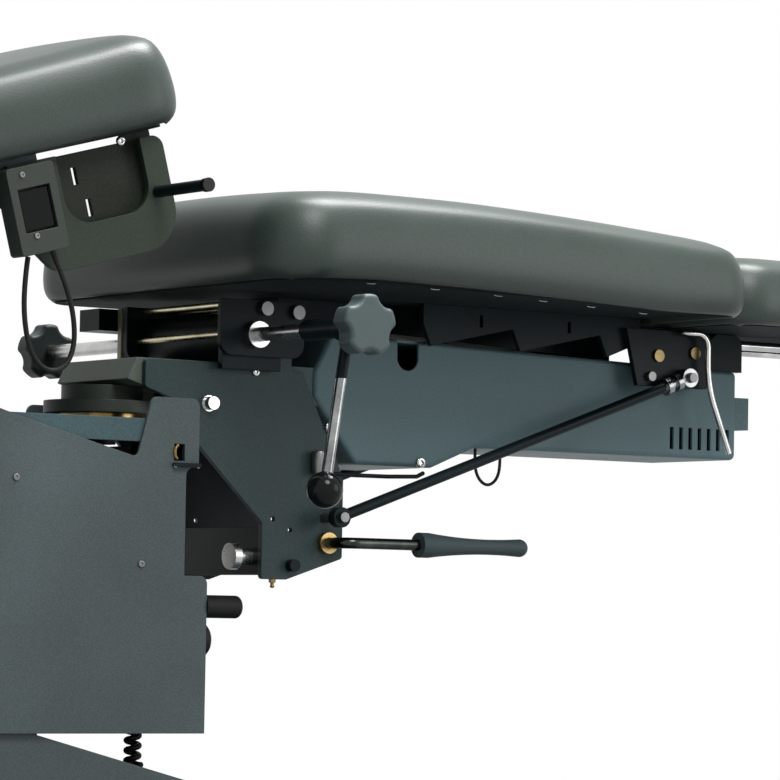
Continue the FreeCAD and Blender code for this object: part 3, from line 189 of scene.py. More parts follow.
def weighted(tree, first, share, second):
    """The first value's share and the rest of the second."""
    return math_node(tree, "ADD", math_node(tree, "MULTIPLY", first, share),
                     math_node(tree, "MULTIPLY", second, 1 - share))


def mix_colour(tree, share, first, second):
    """The first colour, going over to the second as the share rises to one."""
    node = tree.nodes.new("ShaderNodeMix")
    node.data_type = "RGBA"
    sockets = [socket for socket in node.inputs if socket.type == "RGBA"]
    tree.links.new(share, node.inputs["Factor"])
    for socket, value in zip(sockets, (first, second)):
        if isinstance(value, bpy.types.NodeSocket):
            tree.links.new(value, socket)
        else:
            socket.default_value = (*value, 1)
    return [socket for socket in node.outputs if socket.type == "RGBA"][0]


def object_place(tree):
    """The place in the object's own frame."""
    return tree.nodes.new("ShaderNodeTexCoord").outputs["Object"]


def coat_group():
    """Sprayed coat: fine speckle over slow clouds picks the colour and gloss, the speckle gives the height."""
    tree, start, end = group_tree("sprayed_coat", {"Grain": 900.0, "Dark": (0, 0, 0), "Light": (1, 1, 1),
                                                   "Gloss": 0.35, "Matt": 0.5}, ["Colour", "Roughness", "Height"])
    place = object_place(tree)
    speckle = noise(tree, place, start.outputs["Grain"], 3.0, 0.6)
    clouds = noise(tree, place, 5.0, 3.0)
    share = weighted(tree, speckle, 0.62, clouds)
    tone = spread(tree, share, 0.38, 0.64)
    tree.links.new(mix_colour(tree, tone, start.outputs["Dark"], start.outputs["Light"]), end.inputs["Colour"])
    tree.links.new(spread(tree, clouds, 0.3, 0.7, start.outputs["Gloss"], start.outputs["Matt"]),
                   end.inputs["Roughness"])
    tree.links.new(speckle, end.inputs["Height"])
    return tree


def hide_group():
    """Embossed vinyl: pebble cells with soft valleys, uneven handling gloss and a slow drift of tone."""
    tree, start, end = group_tree("embossed_hide", {"Pebble": 620.0, "Dark": (0, 0, 0), "Light": (1, 1, 1),
                                                    "Gloss": 0.32, "Matt": 0.46}, ["Colour", "Roughness", "Height"])
    place = object_place(tree)
    cells = tree.nodes.new("ShaderNodeTexVoronoi")
    cells.feature = "SMOOTH_F1"
    tree.links.new(place, cells.inputs["Vector"])
    tree.links.new(start.outputs["Pebble"], cells.inputs["Scale"])
    pebble = spread(tree, cells.outputs["Distance"], 0.15, 0.75, 1.0, 0.0)
    fine = noise(tree, place, 2600.0, 2.0)
    drift = noise(tree, place, 7.0, 3.0)
    height = weighted(tree, pebble, 0.8, fine)
    tone = weighted(tree, drift, 0.7, pebble)
    tree.links.new(mix_colour(tree, spread(tree, tone, 0.3, 0.75), start.outputs["Dark"], start.outputs["Light"]),
                   end.inputs["Colour"])
    tree.links.new(spread(tree, drift, 0.32, 0.68, start.outputs["Gloss"], start.outputs["Matt"]),
                   end.inputs["Roughness"])
    tree.links.new(height, end.inputs["Height"])
    return tree


HAIR_SCALE = (160, 1500, 1500)


def metal_group():
    """Worked metal: hair scratches drawn out along one way, and a cloudy tarnish that dulls and darkens."""
    tree, start, end = group_tree("worked_metal", {"Dark": (0, 0, 0), "Light": (1, 1, 1), "Gloss": 0.1, "Matt": 0.3},
                                  ["Colour", "Roughness", "Height"])
    place = object_place(tree)
    stretch = tree.nodes.new("ShaderNodeMapping")
    stretch.inputs["Scale"].default_value = HAIR_SCALE
    tree.links.new(place, stretch.inputs["Vector"])
    hairs = noise(tree, stretch.outputs["Vector"], 1.0, 2.0)
    tarnish = noise(tree, place, 28.0, 4.0, 0.6)
    tone = spread(tree, tarnish, 0.35, 0.62)
    share = weighted(tree, hairs, 0.4, tarnish)
    tree.links.new(mix_colour(tree, tone, start.outputs["Dark"], start.outputs["Light"]), end.inputs["Colour"])
    tree.links.new(spread(tree, share, 0.3, 0.7, start.outputs["Gloss"], start.outputs["Matt"]),
                   end.inputs["Roughness"])
    tree.links.new(hairs, end.inputs["Height"])
    return tree


def part_group():
    """Mask of one where a weighted sum of the object's own place passes a limit."""
    tree, start, end = group_tree("part_line", {"X": 0.0, "Y": 0.0, "Z": 0.0, "Aside": 0.0, "Limit": 0.0}, ["Mask"])
    split = tree.nodes.new("ShaderNodeSeparateXYZ")
    tree.links.new(object_place(tree), split.inputs["Vector"])
    aside = math_node(tree, "ABSOLUTE", split.outputs["Y"], 0.0)
    total = math_node(tree, "MULTIPLY", aside, start.outputs["Aside"])
    for label in ("X", "Y", "Z"):
        total = math_node(tree, "ADD", total, math_node(tree, "MULTIPLY", split.outputs[label], start.outputs[label]))
    tree.links.new(math_node(tree, "GREATER_THAN", total, start.outputs["Limit"]), end.inputs["Mask"])
    return tree


GROUPS = {"coat": coat_group(), "hide": hide_group(), "metal": metal_group(), "part": part_group()}


EASE_SAMPLES = 4
METAL_EDGE = 0.0006


def finish_material(name, kind, values, bump, shader_values, edge=0.0):
    """A material from one shared group: its colour, gloss and height feed the shader, edges may be eased."""
    material = bpy.data.materials.new(name)
    material.use_nodes = True
    tree = material.node_tree
    shader = tree.nodes["Principled BSDF"]
    group = tree.nodes.new("ShaderNodeGroup")
    group.node_tree = GROUPS[kind]
    for label, value in values.items():
        group.inputs[label].default_value = value if np.isscalar(value) else (*value, 1)
    tree.links.new(group.outputs["Colour"], shader.inputs["Base Color"])
    tree.links.new(group.outputs["Roughness"], shader.inputs["Roughness"])
    relief = tree.nodes.new("ShaderNodeBump")
    relief.inputs["Distance"].default_value = bump
    relief.inputs["Strength"].default_value = 1.0
    tree.links.new(group.outputs["Height"], relief.inputs["Height"])
    if edge:
        ease = tree.nodes.new("ShaderNodeBevel")
        ease.samples = EASE_SAMPLES
        ease.inputs["Radius"].default_value = edge
        tree.links.new(ease.outputs["Normal"], relief.inputs["Normal"])
    tree.links.new(relief.outputs["Normal"], shader.inputs["Normal"])
    for label, value in shader_values.items():
        shader.inputs[label].default_value = value
    return material


def paint(name, dark, light, gloss, matt, shine=0.25, grain=900.0, bump=0.00012, edge=0.0012):
    """A sprayed coat between two tones; shine is its mirror strength and edge the easing of its corners."""
    return finish_material(name, "coat", {"Grain": grain, "Dark": dark, "Light": light, "Gloss": gloss, "Matt": matt},
                           bump, {"Specular IOR Level": shine}, edge)


def metal(name, dark, light, gloss, matt, bump=0.00001):
    """Worked metal between two tones."""
    return finish_material(name, "metal", {"Dark": dark, "Light": light, "Gloss": gloss, "Matt": matt}, bump,
                           {"Metallic": 1.0}, METAL_EDGE)


def parted(name, before, beyond, weights, limit):
    """One solid with two finishes: the first up to a limit along a line, the second beyond it."""
    material = LOOKS[before].copy()
    material.name = name
    tree = material.node_tree
    shader = tree.nodes["Principled BSDF"]
    group = [node for node in tree.nodes if node.type == "GROUP"][0]
    other_shader = LOOKS[beyond].node_tree.nodes["Principled BSDF"]
    other = [node for node in LOOKS[beyond].node_tree.nodes if node.type == "GROUP"][0]
    second = tree.nodes.new("ShaderNodeGroup")
    second.node_tree = other.node_tree
    for socket in other.inputs:
        second.inputs[socket.name].default_value = socket.default_value
    line = tree.nodes.new("ShaderNodeGroup")
    line.node_tree = GROUPS["part"]
    for label, value in weights.items():
        line.inputs[label].default_value = value
    line.inputs["Limit"].default_value = limit
    mask = line.outputs["Mask"]
    tree.links.new(mix_colour(tree, mask, group.outputs["Colour"], second.outputs["Colour"]),
                   shader.inputs["Base Color"])
    tree.links.new(spread(tree, mask, 0, 1, group.outputs["Roughness"], second.outputs["Roughness"]),
                   shader.inputs["Roughness"])
    for label in ("Metallic", "Specular IOR Level"):
        first_value = shader.inputs[label].default_value
        second_value = other_shader.inputs[label].default_value
        if first_value != second_value:
            tree.links.new(spread(tree, mask, 0, 1, first_value, second_value), shader.inputs[label])
    return material


LOOKS = {
    "vinyl": finish_material("vinyl", "hide", {"Dark": (0.022, 0.032, 0.027), "Light": (0.034, 0.047, 0.041),
                                               "Gloss": 0.36, "Matt": 0.44}, 0.00006, {"Specular IOR Level": 0.30}),
    "panel_paint": paint("panel_paint", (0.034, 0.046, 0.048), (0.074, 0.096, 0.100), 0.42, 0.58),
    "frame_paint": paint("frame_paint", (0.028, 0.052, 0.057), (0.056, 0.098, 0.107), 0.40, 0.55, 0.2),
    # Painted shade: frame paint darkened to about half, standing in for the shade the cushions cast on the tower plates
    "painted_shade_tower_paint": paint("painted_shade_tower_paint", (0.014, 0.026, 0.026), (0.030, 0.051, 0.052), 0.40, 0.55, 0.2),
    "black_paint": paint("black_paint", (0.003, 0.006, 0.007), (0.008, 0.014, 0.017), 0.30, 0.45, 0.09),
    "chrome": metal("chrome", (0.36, 0.37, 0.37), (0.58, 0.58, 0.57), 0.10, 0.22, 0.000002),
    "bright_steel": metal("bright_steel", (0.40, 0.41, 0.41), (0.54, 0.54, 0.52), 0.22, 0.32, 0.000002),
    # Painted shade: worked steel darkened to about half, standing in for the dark surroundings the handle rod mirrors
    "painted_shade_steel": metal("painted_shade_steel", (0.026, 0.031, 0.027), (0.06, 0.07, 0.062), 0.16, 0.30, 0.000002),
    "dark_chrome": metal("dark_chrome", (0.16, 0.17, 0.17), (0.32, 0.33, 0.33), 0.10, 0.24),
    "zinc": metal("zinc", (0.11, 0.12, 0.12), (0.20, 0.20, 0.195), 0.32, 0.48),
    "brass": metal("brass", (0.20, 0.135, 0.05), (0.40, 0.29, 0.13), 0.20, 0.36),
    "pale_brass": metal("pale_brass", (0.46, 0.42, 0.27), (0.70, 0.65, 0.46), 0.22, 0.36),
    "dim_brass": metal("dim_brass", (0.09, 0.065, 0.03), (0.19, 0.145, 0.07), 0.25, 0.40),
    "pale_olive": paint("pale_olive", (0.052, 0.064, 0.052), (0.102, 0.122, 0.102), 0.42, 0.58),
    "olive_paint": paint("olive_paint", (0.016, 0.021, 0.017), (0.036, 0.045, 0.037), 0.42, 0.58),
    "plate_olive": paint("plate_olive", (0.012, 0.019, 0.012), (0.026, 0.038, 0.026), 0.44, 0.60, 0.2),
    "housing_paint": paint("housing_paint", (0.053, 0.090, 0.098), (0.108, 0.178, 0.194), 0.42, 0.58),
    "bracket_olive": paint("bracket_olive", (0.008, 0.011, 0.007), (0.020, 0.025, 0.017), 0.46, 0.62, 0.15),
    # Painted shade: grey plastic darkened for the far knob, which faces away from the light
    "painted_shade_plastic": paint("painted_shade_plastic", (0.016, 0.021, 0.021), (0.034, 0.043, 0.042), 0.40, 0.55, 0.2, 1400.0,
                            0.00006),
    "cream_plastic": paint("cream_plastic", (0.50, 0.45, 0.30), (0.66, 0.60, 0.43), 0.35, 0.5),
    "black_plastic": paint("black_plastic", (0.003, 0.004, 0.004), (0.007, 0.009, 0.009), 0.06, 0.12, 0.13, 1400.0,
                           0.00001),
    "grey_plastic": paint("grey_plastic", (0.034, 0.050, 0.051), (0.066, 0.092, 0.093), 0.40, 0.55, 0.3, 1400.0,
                          0.00006),
    "grip_rubber": paint("grip_rubber", (0.022, 0.034, 0.037), (0.044, 0.062, 0.066), 0.45, 0.60, 0.2, 1400.0, 0.00006),
    "rubber": paint("rubber", (0.005, 0.005, 0.005), (0.014, 0.014, 0.014), 0.45, 0.65, 0.15, 1400.0, 0.00005, 0.0),
    "plywood": paint("dust_cover", (0.007, 0.010, 0.011), (0.019, 0.026, 0.028), 0.65, 0.85, 0.05, 1800.0, 0.0001),
}
OWN_LOOKS = {
    "cocking_lever": parted("lever_finish", "dark_chrome", "black_paint", {"Z": 1.0}, 0.456),
    "cylinder_flanges": parted("flange_finish", "black_paint", "cream_plastic", {"Y": 1.0}, 0.05),
    # Tower plates: black inside; outside, the darkened frame paint is painted shade
    "tower_plates": parted("tower_black_and_painted_shade", "black_paint", "painted_shade_tower_paint", {"Aside": 1.0}, 0.0672),
    "carriage_end": parted("end_finish", "panel_paint", "black_paint", {"X": 1.0}, 0.0),
    "brace_rods": parted("brace_finish", "black_paint", "dark_chrome", {"X": 1.0}, 0.618),
    # The handle rod's darkened steel is painted shade
    "flexion_handle": LOOKS["painted_shade_steel"],
    "handle_grip": LOOKS["grip_rubber"],
    "drive_housing": LOOKS["housing_paint"],
    "drop_shaft": LOOKS["bright_steel"],
    "swing_yoke": LOOKS["pale_olive"],
    "sector_plates": LOOKS["plate_olive"],
    "hinge_pins": LOOKS["dim_brass"],
    "tower_ties": parted("tie_finish", "bright_steel", "black_paint", {"X": 1.0}, 0.166),
    "turntable": LOOKS["olive_paint"],
    "cylinder_rods": LOOKS["pale_brass"],
    "switch_box": LOOKS["olive_paint"],
    "tilt_brackets": LOOKS["bracket_olive"],
    # The far knob's darker plastic is painted shade
    "knob_far": LOOKS["painted_shade_plastic"],
}


def dress_solids():
    """Every carried-over solid takes the look of its record slot, or one of its own."""
    for entry in frame["record"]["subparts"]:
        solid = frame["nodes"][entry["node"]]
        solid.data.materials.clear()
        solid.data.materials.append(OWN_LOOKS.get(entry["node"], LOOKS[entry["material_slot"]]))


dress_solids()


def place_piece(piece, body, slot, *nodes):
    """A new piece: its look from a slot, the body that it rides on, and the solids that it stands for."""
    piece.data.materials.clear()
    piece.data.materials.append(LOOKS[slot])
    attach(piece, body)
    if nodes:
        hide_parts(*nodes)
    return piece


# Cords
CORD_RESOLUTION = 12
CORD_ROUNDING = 4


def cord_curve(name, points, radius):
    """A NURBS line of order 3 through its given route, with a round section."""
    data = bpy.data.curves.new(name, "CURVE")
    data.dimensions = "3D"
    data.resolution_u = CORD_RESOLUTION
    spline = data.splines.new("NURBS")
    spline.points.add(len(points) - 1)
    spline.points.foreach_set("co", np.c_[np.asarray(points, float), np.ones(len(points))].ravel())
    spline.order_u = 3
    spline.use_endpoint_u = True
    data.bevel_depth = radius
    data.bevel_resolution = CORD_ROUNDING
    data.use_fill_caps = True
    piece = bpy.data.objects.new(name, data)
    scene.collection.objects.link(piece)
    return piece


def centre_line(points):
    """Points read from the route's own NURBS line."""
    line = cord_curve("route_line", points, 0.0)
    mesh = bpy.data.meshes.new_from_object(line)
    read = np.empty(len(mesh.vertices) * 3)
    mesh.vertices.foreach_get("co", read)
    bpy.data.objects.remove(line)
    bpy.data.meshes.remove(mesh)
    return read.reshape(-1, 3)


def line_length(points):
    """Length of a line through points."""
    return float(np.linalg.norm(np.diff(points, axis=0), axis=1).sum())


CORD_Y = -0.229
HAND_ROUTE = [(-0.219, CORD_Y, 0.5506), (-0.223, CORD_Y, 0.520), (-0.220, CORD_Y, 0.482), (-0.210, CORD_Y, 0.457),
              (-0.192, CORD_Y, 0.447), (-0.174, CORD_Y, 0.456), (-0.167, CORD_Y, 0.482), (-0.175, CORD_Y, 0.522),
              (-0.1939, CORD_Y, 0.5573)]
HAND_RADIUS = 0.0024
CABLE_Y = -0.064
CABLE_ROUTE = [(0.404, CABLE_Y, 0.4057), (0.403, CABLE_Y, 0.388), (0.409, CABLE_Y, 0.374), (0.420, CABLE_Y, 0.368),
               (0.431, CABLE_Y, 0.374), (0.436, CABLE_Y, 0.388), (0.435, CABLE_Y, 0.4057)]
CABLE_RADIUS = 0.0016


def add_loop(name, route, radius, body, node):
    """A limp cord along its route, from the object back into it."""
    piece = cord_curve(name, route, radius)
    place_piece(piece, body, "rubber", node)
    length = line_length(centre_line(route))


add_loop("switch_cord", HAND_ROUTE, HAND_RADIUS, "thoracic", "hand_cord")
add_loop("drive_lead", CABLE_ROUTE, CABLE_RADIUS, "caudal", "drive_cable")

CURL_AXIS = (0.006, -0.060)
CURL_RADIUS = 0.006
CURL_WIRE = 0.003
CURL_TURNS = 33
CURL_STEPS = 24
CURL_SIDES = 10
CURL_LEAD = 0.006
CURL_ROUTE_POINTS = 5


def add_curly_cord():
    """A helix about the line that its route gives: radius times cosine and sine of the turn, rising evenly."""
    low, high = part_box("curly_cord")
    foot = low[2] + CURL_WIRE
    head = high[2] - CURL_WIRE
    heights = np.linspace(foot, head, CURL_ROUTE_POINTS)
    axis_line = centre_line([(*CURL_AXIS, z) for z in heights])
    angle = np.linspace(0, 2 * math.pi * CURL_TURNS, CURL_TURNS * CURL_STEPS + 1)
    rise = foot + (head - foot) * angle / angle[-1]
    middle_x = np.interp(rise, axis_line[:, 2], axis_line[:, 0])
    middle_y = np.interp(rise, axis_line[:, 2], axis_line[:, 1])
    path = np.c_[middle_x + CURL_RADIUS * np.cos(angle), middle_y + CURL_RADIUS * np.sin(angle), rise]
    first = path[0] - np.array((0, CURL_LEAD, 0))
    last = path[-1] + np.array((0, CURL_LEAD, 0))
    path = np.vstack([first, path, last])
    way = np.gradient(path, axis=0)
    way /= np.linalg.norm(way, axis=1)[:, None]
    over = np.array((0.0, 0.0, 1.0)) - way * way[:, 2:]
    over /= np.linalg.norm(over, axis=1)[:, None]
    aside = np.cross(way, over)
    turn = np.linspace(0, 2 * math.pi, CURL_SIDES, endpoint=False)
    ring = np.cos(turn)[None, :, None] * aside[:, None, :] + np.sin(turn)[None, :, None] * over[:, None, :]
    points = (path[:, None, :] + CURL_WIRE * ring).reshape(-1, 3)
    piece = mesh_piece("lift_curly_cord", points, tube_faces(len(path), CURL_SIDES))
    piece.data.materials.append(LOOKS["rubber"])
    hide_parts("curly_cord")
    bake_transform(piece)


add_curly_cord()

# Cushions
PAD_GRID = 64
PAD_TOP_RINGS = 20
PAD_SHOULDER = 0.034
PAD_PROFILE = [(0.034, 1.00), (0.021, 0.972), (0.011, 0.89), (0.005, 0.77), (0.0015, 0.62), (0.000, 0.44),
               (0.000, 0.30), (0.002, 0.16), (0.007, 0.05), (0.0148, 0.0)]
PAD_CROWN = 0.008
PAD_CAP = 0.003
PAD_CALM = 8
PAD_FADE = 0.4
PAD_LEAST_CORNER = 0.012
CURVE_STEPS = 24
CLOTH_QUALITY = 5
CLOTH_PRESSURE = 4.0
CLOTH_FRAMES = 20


def smooth_through(points, count):
    """A Catmull-Rom line through a few points, read at even steps of its length."""
    knots = np.asarray(points, float)
    ends = np.vstack([2 * knots[0] - knots[1], knots, 2 * knots[-1] - knots[-2]])
    t = np.linspace(0, 1, CURVE_STEPS, endpoint=False)[:, None]
    runs = []
    for p0, p1, p2, p3 in zip(ends[:-3], ends[1:-2], ends[2:-1], ends[3:]):
        runs.append(0.5 * (2 * p1 + (p2 - p0) * t + (2 * p0 - 5 * p1 + 4 * p2 - p3) * t ** 2
                           + (3 * p1 - p0 - 3 * p2 + p3) * t ** 3))
    line = np.vstack(runs + [knots[-1:]])
    reach = np.r_[0, np.cumsum(np.linalg.norm(np.diff(line, axis=0), axis=1))]
    even = np.linspace(0, reach[-1], count)
    return np.c_[[np.interp(even, reach, column) for column in line.T]].T


def rounded_outline(p, q, half_x, half_y, corner):
    """Carries points of a unit square's edge to a rounded rectangle's, by length along each side."""
    on_x = np.abs(p) >= np.abs(q)
    share = np.where(on_x, q, p)
    sign = np.where(on_x, np.sign(p), np.sign(q))
    half = np.where(on_x, half_y, half_x)
    far = np.where(on_x, half_x, half_y)
    run = share * (half - corner + corner * math.pi / 4)
    past = np.maximum(np.abs(run) - (half - corner), 0) / corner
    along = np.where(past > 0, np.sign(run) * (half - corner + corner * np.sin(past)), run)
    out = sign * (far - corner + corner * np.cos(past))
    return np.where(on_x, out, along), np.where(on_x, along, out)


def square_rings():
    """A square grid from minus one to one each way, and the square ring that each point lies on."""
    side = np.linspace(-1, 1, PAD_GRID + 1)
    u, v = np.meshgrid(side, side, indexing="ij")
    return u, v, np.maximum(np.abs(u), np.abs(v))


def edge_height(along, rim):
    """Height of a pad's lower edge over its board, between values at even steps of its length."""
    return np.interp(along, np.linspace(0, 1, len(rim)), rim)


def pad_points(box, height, corners, rise, rim):
    """Half of a pad: square rings scaled over the top, then carried down the side profile to the rim.

    The top is a crown, falling with the square of the way across, on a smooth rise along the pad.
    """
    x0, x1, y0, y1, z0 = box
    u, v, ring = square_rings()
    safe = np.maximum(ring, TINY)
    rings = PAD_GRID // 2
    number = np.rint(ring * rings).astype(int)
    profile = smooth_through(PAD_PROFILE, rings - PAD_TOP_RINGS + 1)
    inset = np.r_[np.full(PAD_TOP_RINGS, PAD_SHOULDER), profile[:, 0]][number]
    share = np.r_[np.ones(PAD_TOP_RINGS), profile[:, 1]][number]
    scale = np.minimum(number / PAD_TOP_RINGS, 1.0)
    half_x = (x1 - x0) / 2 - inset
    half_y = (y1 - y0) / 2 - inset
    round_off = np.maximum(np.where(u < 0, *corners) - inset, PAD_LEAST_CORNER)
    x, y = rounded_outline(u / safe, v / safe, half_x, half_y, round_off)
    x = (x0 + x1) / 2 + x * scale
    y = (y0 + y1) / 2 + y * scale
    along = (x - x0) / (x1 - x0)
    across = 2 * (y - y0) / (y1 - y0) - 1
    low = edge_height(along, rim)
    curve = np.polyfit(np.linspace(0, 1, len(rise)), rise, len(rise) - 1)
    top = height + np.polyval(curve, along) - PAD_CROWN * across ** 2
    z = z0 + low + share * (top - low)
    return np.c_[x.ravel(), y.ravel(), z.ravel()]


def swell(piece, pinned, ring):
    """Cloth blown up a little under its pinned rim, each point held near its start and the move calmed."""
    group = piece.vertex_groups.new(name="pinned")
    group.add([int(i) for i in pinned], 1.0, "REPLACE")
    cloth = piece.modifiers.new("swell", "CLOTH")
    cloth.settings.quality = CLOTH_QUALITY
    cloth.settings.vertex_group_mass = "pinned"
    cloth.settings.use_pressure = True
    cloth.settings.uniform_pressure_force = CLOTH_PRESSURE
    cloth.settings.effector_weights.gravity = 0.0
    start = np.empty(len(piece.data.vertices) * 3)
    piece.data.vertices.foreach_get("co", start)
    for number in range(1, CLOTH_FRAMES + 1):
        scene.frame_set(number)
    blown = bpy.data.meshes.new_from_object(piece.evaluated_get(bpy.context.evaluated_depsgraph_get()))
    end = np.empty_like(start)
    blown.vertices.foreach_get("co", end)
    bpy.data.meshes.remove(blown)
    piece.modifiers.remove(cloth)
    piece.vertex_groups.remove(group)
    scene.frame_set(1)
    move = (end - start).reshape(-1, 3)
    reach = np.linalg.norm(move, axis=1)[:, None]
    move *= np.minimum(1, PAD_CAP / np.maximum(reach, TINY))
    move[:ring.size] *= np.clip((1 - ring) / PAD_FADE, 0, 1)[:, None]
    grid = move[:ring.size].reshape(PAD_GRID + 1, PAD_GRID + 1, 3)
    for _ in range(PAD_CALM):
        grid[1:-1, 1:-1] = (grid[:-2, 1:-1] + grid[2:, 1:-1] + grid[1:-1, :-2] + grid[1:-1, 2:]) / 4
    piece.data.vertices.foreach_set("co", (start.reshape(-1, 3) + move).ravel())
    piece.data.update()


def add_pad(name, box, height, corners, body, node, rise, rim, tilted=False, pocket=0.0):
    """A closed pad: the crowned half over an underside that shares its rim and may be a pocket for a board."""
    upper = pad_points(box, height, corners, rise, rim)
    u, v, square = square_rings()
    rings = square.ravel()
    on_rim = rings > 1 - 0.5 / PAD_GRID
    shrink = np.minimum(rings / (1 - 2 / PAD_GRID), 1.0)
    x0, x1, y0, y1, z0 = box
    inset = PAD_PROFILE[-1][0]
    safe = np.maximum(square, TINY)
    round_off = np.maximum(np.where(u < 0, *corners) - inset, PAD_LEAST_CORNER)
    edge_x, edge_y = rounded_outline(u / safe, v / safe, (x1 - x0) / 2 - inset, (y1 - y0) / 2 - inset, round_off)
    lower = np.c_[(x0 + x1) / 2 + edge_x.ravel() * shrink, (y0 + y1) / 2 + edge_y.ravel() * shrink,
                  np.full(rings.size, z0 + pocket)]
    count = len(upper)
    index = np.arange(count)
    keep = np.where(on_rim, index, count + np.cumsum(~on_rim) - 1)
    points = np.vstack([upper, lower[~on_rim]])
    faces = grid_faces(PAD_GRID + 1, PAD_GRID + 1)
    under = keep[faces][:, ::-1]
    points = tilt(points) if tilted else points
    piece = mesh_piece(name, points, np.vstack([faces, under])[:, ::-1])
    swell(piece, np.r_[np.flatnonzero(on_rim), np.arange(count, len(points))], rings)
    smooth = piece.modifiers.new("smooth", "SUBSURF")
    smooth.levels = 1
    smooth.render_levels = 1
    place_piece(piece, body, "vinyl", node)


CLEAR = 0.0003
BOARD = 0.012
POCKET = BOARD + CLEAR
PELVIC_PAD = (0.046, 0.626, -0.245, 0.245, 0.5485 + CLEAR)
PELVIC_RIM = (-0.003, 0.001, -0.001, -0.005, -0.010, -0.009)
add_pad("pelvic_pad", PELVIC_PAD, 0.0785 + BOARD, (0.062, 0.036), "pelvic", "pelvic_cushion",
        (-0.004, 0.004, 0.0005, -0.0075, -0.018), PELVIC_RIM, False, POCKET)
add_pad("leg_pad", (0.631, 1.030, -0.200, 0.200, 0.540 + CLEAR), 0.063 + BOARD, (0.052, 0.052), "leg",
        "leg_cushion", (0, 0, 0), (-0.003, -0.003), False, POCKET)
add_pad("thoracic_pad", (-0.560, -0.030, -0.245, 0.245, 0.620 + CLEAR), 0.0765 + BOARD, (0.052, 0.048), "thoracic",
        "thoracic_cushion", (-0.003, -0.005, -0.001, 0.008), (-0.003, -0.004, -0.004, 0.0), True, POCKET)
for label, y0, y1 in (("near", -0.143, -0.031), ("far", 0.031, 0.143)):
    add_pad("head_pad_" + label, (-0.905, -0.618, y0, y1, 0.620 + CLEAR), 0.070, (0.046, 0.046), "head",
            "head_cushions", (0, 0, 0), (0, 0), True)


# Small pieces
SIDES = 24
BAR_SIDES = 10
SHARP_ANGLE = math.radians(35)
NEAR = np.array((0.0, -1.0, 0.0))


def across_ways(way):
    """Two unit directions square to a way and to each other."""
    other = np.array((0.0, 0.0, 1.0)) if abs(way[2]) < 0.9 else np.array((1.0, 0.0, 0.0))
    first = np.cross(way, other)
    first /= np.linalg.norm(first)
    return first, np.cross(way, first)


def turned_shape(rings, place, way):
    """Rings of (height, radius, hexagon share) about a line: a round ring, or one drawn in to six flats."""
    way = np.asarray(way, float) / np.linalg.norm(way)
    first, second = across_ways(way)
    angle = np.linspace(0, 2 * math.pi, SIDES, endpoint=False)
    flats = math.cos(math.pi / 6) / np.cos(angle % (math.pi / 3) - math.pi / 6)
    circle = np.cos(angle)[:, None] * first + np.sin(angle)[:, None] * second
    points = []
    for height, radius, six in rings:
        reach = radius * (1 + six * (flats - 1))
        points.append(np.asarray(place) + way * height + circle * reach[:, None])
    return np.vstack(points), tube_faces(len(rings), SIDES)


def screw_shape(place, radius, height, way=NEAR):
    """A socket screw's head: eased rim, flat crown and a six-sided socket."""
    socket = 0.5 * radius
    rings = [(0, radius, 0), (0.6 * height, radius, 0), (0.86 * height, 0.93 * radius, 0), (height, 0.78 * radius, 0),
             (height, socket * 1.08, 0.9), (0.9 * height, socket, 1), (0.35 * height, socket, 1),
             (0.3 * height, 0.2 * socket, 1)]
    return turned_shape(rings, place, way)


def bar_shape(points, radius):
    """A round bar swept along a few points, with its ends closed."""
    line = np.asarray(points, float)
    way = np.gradient(line, axis=0)
    way /= np.linalg.norm(way, axis=1)[:, None]
    first, _ = across_ways(way[0])
    angle = np.linspace(0, 2 * math.pi, BAR_SIDES, endpoint=False)
    rings = []
    for place, ahead in zip(line, way):
        aside = first - ahead * first.dot(ahead)
        aside /= np.linalg.norm(aside)
        over = np.cross(ahead, aside)
        rings.append(place + radius * (np.cos(angle)[:, None] * aside + np.sin(angle)[:, None] * over))
    return np.vstack(rings), tube_faces(len(line), BAR_SIDES)


def add_shapes(name, shapes, body, slot):
    """Several shapes as one piece that rides on a body."""
    points = []
    faces = []
    count = 0
    for shape_points, shape_faces in shapes:
        points.append(shape_points)
        faces += [tuple(i + count for i in face) for face in shape_faces]
        count += len(shape_points)
    piece = mesh_piece(name, np.vstack(points), faces)
    piece.data.set_sharp_from_angle(angle=SHARP_ANGLE)
    return place_piece(piece, body, slot)


STAPLE_POINTS = 9
STAPLE_HALF = 0.0050
STAPLE_RISE = 0.0005
STAPLE_WIRE = 0.0005
STAPLE_Y = -0.2308
STAPLE_LEAN = 0.2


def staple_shape(x):
    """A staple crown: a flat arch along the pad's lower edge, its ends sunk in the cover."""
    t = np.linspace(-1, 1, STAPLE_POINTS)
    rise = STAPLE_RISE * (1 - t ** 6)
    place = x + STAPLE_HALF * t
    edge = PELVIC_PAD[4] + edge_height((place - PELVIC_PAD[0]) / (PELVIC_PAD[1] - PELVIC_PAD[0]), PELVIC_RIM)
    line = np.c_[place, STAPLE_Y - STAPLE_LEAN * rise, edge - rise]
    return bar_shape(line, STAPLE_WIRE)


